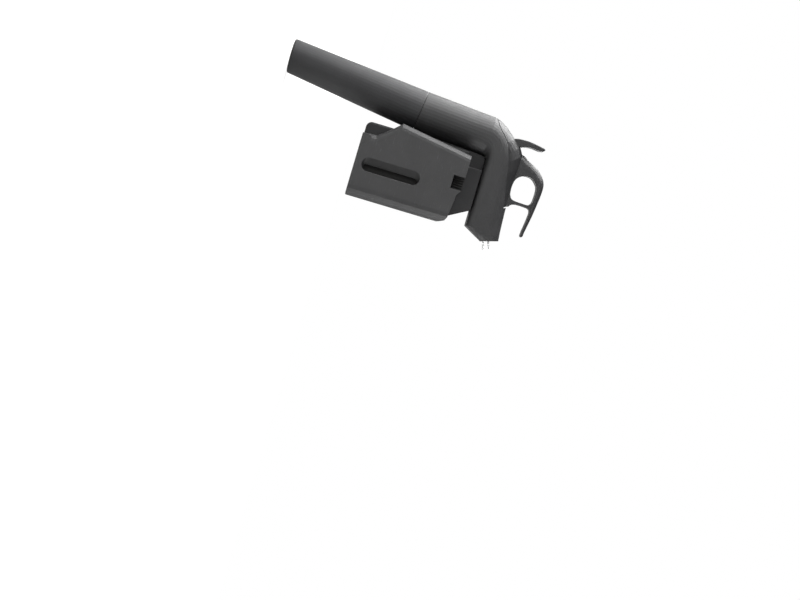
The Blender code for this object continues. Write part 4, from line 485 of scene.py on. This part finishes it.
def empty_shape(name, numbers, others=None):
    """Geometry tree with named sizes to set, and the sockets that give them."""
    tree = bpy.data.node_groups.new(name, "GeometryNodeTree")
    tree.interface.new_socket("Geometry", in_out="OUTPUT", socket_type="NodeSocketGeometry")
    kinds = {size: "NodeSocketFloat" for size in numbers}
    for size, kind in {**kinds, **(others or {})}.items():
        tree.interface.new_socket(size, in_out="INPUT", socket_type=kind)
    return tree, add(tree, "NodeGroupInput").outputs


def end_shape(tree, mesh, finish):
    """Ends a tree: instances made real, and the finish set."""
    real = add(tree, "GeometryNodeRealizeInstances", {"Geometry": mesh}).outputs["Geometry"]
    dressed = add(tree, "GeometryNodeSetMaterial", {"Geometry": real, "Material": finish})
    add(tree, "NodeGroupOutput", {"Geometry": dressed.outputs["Geometry"]})


def make_from(tree, name, sizes):
    """Piece that a tree makes with these sizes, as a plain mesh with one material."""
    base = new_object(name + "_base", bpy.data.meshes.new(name + "_base"))
    modifier = base.modifiers.new("shape", "NODES")
    modifier.node_group = tree
    for socket in tree.interface.items_tree:
        if socket.in_out == "INPUT":
            modifier[socket.identifier] = sizes[socket.name]
    graph = bpy.context.evaluated_depsgraph_get()
    mesh = bpy.data.meshes.new_from_object(base.evaluated_get(graph))
    bpy.data.objects.remove(base)
    for place in reversed(range(len(mesh.materials))):
        if mesh.materials[place] is None:
            mesh.materials.pop(index=place)
    mesh.name = name
    mesh.shade_smooth()
    return new_object(name, mesh)


def thread_tree(finish):
    """Ridge that winds up around the handle's axis."""
    numbers = ("Radius", "Pitch", "Length", "Ridge", "Start", "Turn")
    tree, size = empty_shape("thread", numbers)
    inputs = {0: size["Length"], 1: size["Pitch"]}
    turns = add(tree, "ShaderNodeMath", inputs, operation="DIVIDE").outputs[0]
    inputs = {
        "Resolution": THREAD_STEPS, "Rotations": turns, "Start Radius": size["Radius"],
        "End Radius": size["Radius"], "Height": size["Length"],
    }
    helix = add(tree, "GeometryNodeCurveSpiral", inputs).outputs["Curve"]
    inputs = {"Resolution": THREAD_SIDES, "Radius": size["Ridge"]}
    crest = add(tree, "GeometryNodeCurvePrimitiveCircle", inputs).outputs["Curve"]
    inputs = {"Curve": helix, "Profile Curve": crest, "Fill Caps": True}
    ridge = add(tree, "GeometryNodeCurveToMesh", inputs).outputs["Mesh"]
    start = add(tree, "ShaderNodeCombineXYZ", {"Z": size["Start"]}).outputs["Vector"]
    turn = add(tree, "ShaderNodeCombineXYZ", {"Z": size["Turn"]}).outputs["Vector"]
    inputs = {"Geometry": ridge, "Translation": start, "Rotation": turn}
    upright = add(tree, "GeometryNodeTransform", inputs).outputs["Geometry"]
    inputs = {
        "Geometry": upright, "Translation": HANDLE_TOP, "Rotation": (0, HANDLE_TILT, 0),
    }
    end_shape(tree, add(tree, "GeometryNodeTransform", inputs).outputs["Geometry"], finish)
    return tree


def make_threads():
    """The collar's ridge and the cup's, half a pitch apart, so that each lies in the other's
    groove."""
    for name, body, slot, finish, radius, shift in (
        ("collar_thread", "head", "aluminium", BLACK_ALUMINIUM, COLLAR_RADIUS, 0),
        ("cup_thread", "cup", "charcoal_plastic", ABS_CUP, CUP_THREAD_RADIUS, THREAD_PITCH / 2),
    ):
        sizes = {
            "Radius": radius, "Pitch": THREAD_PITCH, "Length": THREAD_LENGTH - THREAD_PITCH,
            "Ridge": THREAD_RIDGE, "Start": -THREAD_LENGTH - THREAD_PITCH / 2 + shift, "Turn": 0.0,
        }
        piece = make_from(thread_tree(finish), name, sizes)
        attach(piece, body)


def spring_tree():
    """Coil spring of round wire, whose end turns are closed."""
    others = {"Start": "NodeSocketVector", "Tilt": "NodeSocketRotation"}
    tree, size = empty_shape("coil_spring", ("Coil", "Wire", "Turns", "Length"), others)
    inputs = {0: size["Wire"], 1: -2.0, 2: size["Length"]}
    height = add(tree, "ShaderNodeMath", inputs, operation="MULTIPLY_ADD").outputs[0]
    inputs = {
        "Resolution": SPRING_STEPS, "Rotations": size["Turns"], "Start Radius": size["Coil"],
        "End Radius": size["Coil"], "Height": height,
    }
    helix = add(tree, "GeometryNodeCurveSpiral", inputs).outputs["Curve"]
    inputs = {"Resolution": SPRING_STEPS, "Radius": size["Coil"]}
    ring = add(tree, "GeometryNodeCurvePrimitiveCircle", inputs).outputs["Curve"]
    top = add(tree, "ShaderNodeCombineXYZ", {"Z": height}).outputs["Vector"]
    inputs = {"Geometry": ring, "Translation": top}
    raised = add(tree, "GeometryNodeTransform", inputs).outputs["Geometry"]
    paths = add(tree, "GeometryNodeJoinGeometry")
    for path in (helix, ring, raised):
        tree.links.new(path, paths.inputs["Geometry"])
    inputs = {"Resolution": WIRE_SIDES, "Radius": size["Wire"]}
    wire = add(tree, "GeometryNodeCurvePrimitiveCircle", inputs).outputs["Curve"]
    inputs = {"Curve": paths.outputs["Geometry"], "Profile Curve": wire, "Fill Caps": True}
    wound = add(tree, "GeometryNodeCurveToMesh", inputs).outputs["Mesh"]
    lift = add(tree, "ShaderNodeCombineXYZ", {"Z": size["Wire"]}).outputs["Vector"]
    inputs = {"Geometry": wound, "Translation": lift}
    lifted = add(tree, "GeometryNodeTransform", inputs).outputs["Geometry"]
    inputs = {"Geometry": lifted, "Translation": size["Start"], "Rotation": size["Tilt"]}
    end_shape(tree, add(tree, "GeometryNodeTransform", inputs).outputs["Geometry"], DRAWN_STEEL)
    return tree


def make_springs():
    """Round-wire springs in place of the coarse ones."""
    tree = spring_tree()
    for node, body, start, tilt, axis, share, coil, wire, turns, length, joint, keep in SPRINGS:
        sizes = {
            "Coil": coil, "Wire": wire, "Turns": float(turns), "Length": length,
            "Start": start, "Tilt": tilt,
        }
        piece = make_from(tree, node + "_wound", sizes)
        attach(piece, body)
        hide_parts(node)
        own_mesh(piece)


def make_pad_ribs():
    """Ribs across both rubber pads, bent as the pads' hollow is."""
    numbers = ("Radius", "Half Angle", "Middle Angle", "Rib", "Pitch", "Lowest")
    tree, size = empty_shape("pad_ribs", numbers, {"Count": "NodeSocketInt"})
    inputs = {0: size["Middle Angle"], 1: size["Half Angle"]}
    start = add(tree, "ShaderNodeMath", inputs, operation="SUBTRACT").outputs[0]
    inputs = {0: size["Half Angle"], 1: 2.0}
    sweep = add(tree, "ShaderNodeMath", inputs, operation="MULTIPLY").outputs[0]
    inputs = {
        "Resolution": RIB_STEPS, "Radius": size["Radius"], "Start Angle": start,
        "Sweep Angle": sweep,
    }
    bend = add(tree, "GeometryNodeCurveArc", inputs, mode="RADIUS").outputs["Curve"]
    inputs = {"Resolution": RIB_SIDES, "Radius": size["Rib"]}
    section = add(tree, "GeometryNodeCurvePrimitiveCircle", inputs).outputs["Curve"]
    inputs = {"Curve": bend, "Profile Curve": section, "Fill Caps": True}
    rib = add(tree, "GeometryNodeCurveToMesh", inputs).outputs["Mesh"]
    lowest = add(tree, "ShaderNodeCombineXYZ", {"Z": size["Lowest"]}).outputs["Vector"]
    pitch = add(tree, "ShaderNodeCombineXYZ", {"Z": size["Pitch"]}).outputs["Vector"]
    inputs = {"Count": size["Count"], "Start Location": lowest, "Offset": pitch}
    rows = add(tree, "GeometryNodeMeshLine", inputs, mode="OFFSET").outputs["Mesh"]
    ribs = add(tree, "GeometryNodeInstanceOnPoints", {"Points": rows, "Instance": rib})
    end_shape(tree, ribs.outputs["Instances"], NITRILE)
    for name, body, middle in (
        ("pad_ribs_right", "arm_right", -math.pi / 2),
        ("pad_ribs_left", "arm_left", math.pi / 2),
    ):
        sizes = {
            "Radius": PAD_RADIUS, "Half Angle": RIB_HALF_ANGLE, "Middle Angle": middle,
            "Rib": RIB_RADIUS, "Pitch": RIB_PITCH, "Lowest": RIB_LOWEST, "Count": RIB_COUNT,
        }
        piece = make_from(tree, name, sizes)
        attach(piece, body)


def make_arm_stop(name, side):
    """Grooved rubber stop on the clamp, which the arm's notch shows and on which the arm closes;
    its near-black rubber also paints the shade inside the notch.
    """
    width = STOP_HIGH[0] - STOP_LOW[0]
    pitches = STOP_GROOVES + 0.5
    groove_width = width * 0.5 / pitches
    groove_floor = STOP_HIGH[1] - STOP_GROOVE_DEPTH
    outline = [(STOP_LOW[0], STOP_LOW[1]), (STOP_HIGH[0], STOP_LOW[1])]
    for groove in range(STOP_GROOVES, -1, -1):
        left = STOP_LOW[0] + width * groove / pitches
        outline += [(left + groove_width, STOP_HIGH[1]), (left, STOP_HIGH[1])]
        if groove:
            outline += [(left, groove_floor), (left - groove_width, groove_floor)]
    count = len(outline)
    points = [(x, side * y, z) for z in (STOP_LOW[2], STOP_HIGH[2]) for x, y in outline]
    faces = [tuple(range(count)), tuple(range(2 * count - 1, count - 1, -1))]
    faces += [(i, (i + 1) % count, (i + 1) % count + count, i + count) for i in range(count)]
    mesh = bpy.data.meshes.new(name)
    mesh.from_pydata(points, [], faces)
    block = bmesh.new()
    block.from_mesh(mesh)
    bmesh.ops.recalc_face_normals(block, faces=block.faces)
    bmesh.ops.bevel(block, geom=block.edges, offset=STOP_BEVEL, segments=STOP_BEVEL_STEPS,
                    affect="EDGES", clamp_overlap=True)
    block.to_mesh(mesh)
    block.free()
    mesh.materials.append(NITRILE)
    piece = new_object(name, mesh)
    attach(piece, "clamp")


make_threads()
make_springs()
make_pad_ribs()
make_arm_stop("arm_stop_right", -1)
make_arm_stop("arm_stop_left", 1)


# Floor, light and camera


def make_floor():
    """Wide floor of matt, near-white studio paper under the lowest point, which keeps the object's
    shadow."""
    material, tree, place = empty_material("studio_paper")
    far = add(tree, "ShaderNodeVectorMath", {0: place}, operation="LENGTH").outputs["Value"]
    inputs = {
        "Value": far, "From Min": PAPER_NEAR, "From Max": PAPER_FAR,
        "To Min": PAPER_NEAR_GLOW, "To Max": PAPER_FAR_GLOW,
    }
    glow = add(tree, "ShaderNodeMapRange", inputs).outputs["Result"]
    path = add(tree, "ShaderNodeLightPath").outputs
    inputs = {0: path["Is Glossy Ray"], 1: PAPER_IN_GLOSS, 2: path["Is Camera Ray"]}
    straight = add(tree, "ShaderNodeMath", inputs, operation="MULTIPLY_ADD").outputs[0]
    inputs = {0: straight, 1: path["Is Transmission Ray"]}
    seen = add(tree, "ShaderNodeMath", inputs, operation="MAXIMUM").outputs[0]
    strength = add(tree, "ShaderNodeMath", {0: seen, 1: glow}, operation="MULTIPLY").outputs[0]
    rough = blotches(tree, place, 30, 0.86, 0.94, detail=3)
    inputs = {
        "Base Color": linear("#8c8c8a"), "Roughness": rough, "Emission Color": WHITE,
        "Emission Strength": strength,
    }
    surface = add(tree, "ShaderNodeBsdfPrincipled", inputs).outputs["BSDF"]
    add(tree, "ShaderNodeOutputMaterial", {"Surface": surface})
    corners = [(x * FLOOR_REACH, y * FLOOR_REACH, cad_box[0].z)
               for x, y in ((-1, -1), (1, -1), (1, 1), (-1, 1))]
    mesh = bpy.data.meshes.new("floor")
    mesh.from_pydata(corners, [], [(0, 1, 2, 3)])
    mesh.materials.append(material)
    floor = new_object("floor", mesh)


def make_world():
    """White surroundings that dim towards a dark ceiling. What the camera sees past the object
    stays white."""
    world = bpy.data.worlds.new("studio")
    world.use_nodes = True
    tree = world.node_tree
    tree.nodes.clear()
    direction = add(tree, "ShaderNodeTexCoord").outputs["Generated"]
    height = add(tree, "ShaderNodeSeparateXYZ", {0: direction}).outputs["Z"]
    inputs = {
        "Value": height, "From Min": 0.0, "From Max": CEILING_RISE,
        "To Min": HORIZON_LIGHT, "To Max": CEILING_LIGHT,
    }
    dim = add(tree, "ShaderNodeMapRange", inputs).outputs["Result"]
    path = add(tree, "ShaderNodeLightPath").outputs
    inputs = {0: path["Is Camera Ray"], 1: path["Is Transmission Ray"]}
    seen = add(tree, "ShaderNodeMath", inputs, operation="MAXIMUM").outputs[0]
    inputs = {"Factor": seen, "A": dim, "B": 1.0}
    strength = add(tree, "ShaderNodeMix", inputs).outputs["Result"]
    inputs = {"Color": WHITE, "Strength": strength}
    ground = add(tree, "ShaderNodeBackground", inputs).outputs["Background"]
    add(tree, "ShaderNodeOutputWorld", {"Surface": ground})
    bpy.context.scene.world = world


def make_lamps():
    """Soft area lamps that face the part."""
    for name, place, width, height, watts in LAMPS:
        lamp = bpy.data.lights.new(name, "AREA")
        lamp.shape = "RECTANGLE"
        lamp.size = width
        lamp.size_y = height
        lamp.energy = watts
        holder = new_object(name, lamp)
        holder.location = place
        facing = LAMP_TARGET - Vector(place)
        holder.rotation_euler = facing.to_track_quat("-Z", "Y").to_euler()


def make_camera():
    """Camera of the photograph, which looks at the right side and holds the part on its side."""
    forward = (CAMERA_TARGET - CAMERA_PLACE).normalized()
    right = forward.cross(Vector((0, 0, 1))).normalized()
    upright = right.cross(forward)
    across = upright * ROLL_ALONG_UP - right * ROLL_AGAINST_RIGHT
    down = upright * ROLL_AGAINST_RIGHT + right * ROLL_ALONG_UP
    away = (CAMERA_TARGET - CAMERA_PLACE).length
    data = bpy.data.cameras.new("photo_camera")
    data.sensor_width = SENSOR_WIDTH
    data.lens = SENSOR_WIDTH * PIXELS_PER_METRE * away / PHOTO_WIDTH
    data.clip_start = CAMERA_NEAREST
    camera = new_object("photo_camera", data)
    turn = Matrix((across, -down, -forward)).transposed()
    camera.matrix_world = Matrix.Translation(CAMERA_PLACE) @ turn.to_4x4()
    bpy.context.scene.camera = camera


make_floor()
make_world()
make_lamps()
make_camera()
bpy.context.scene.view_settings.view_transform = "Standard"
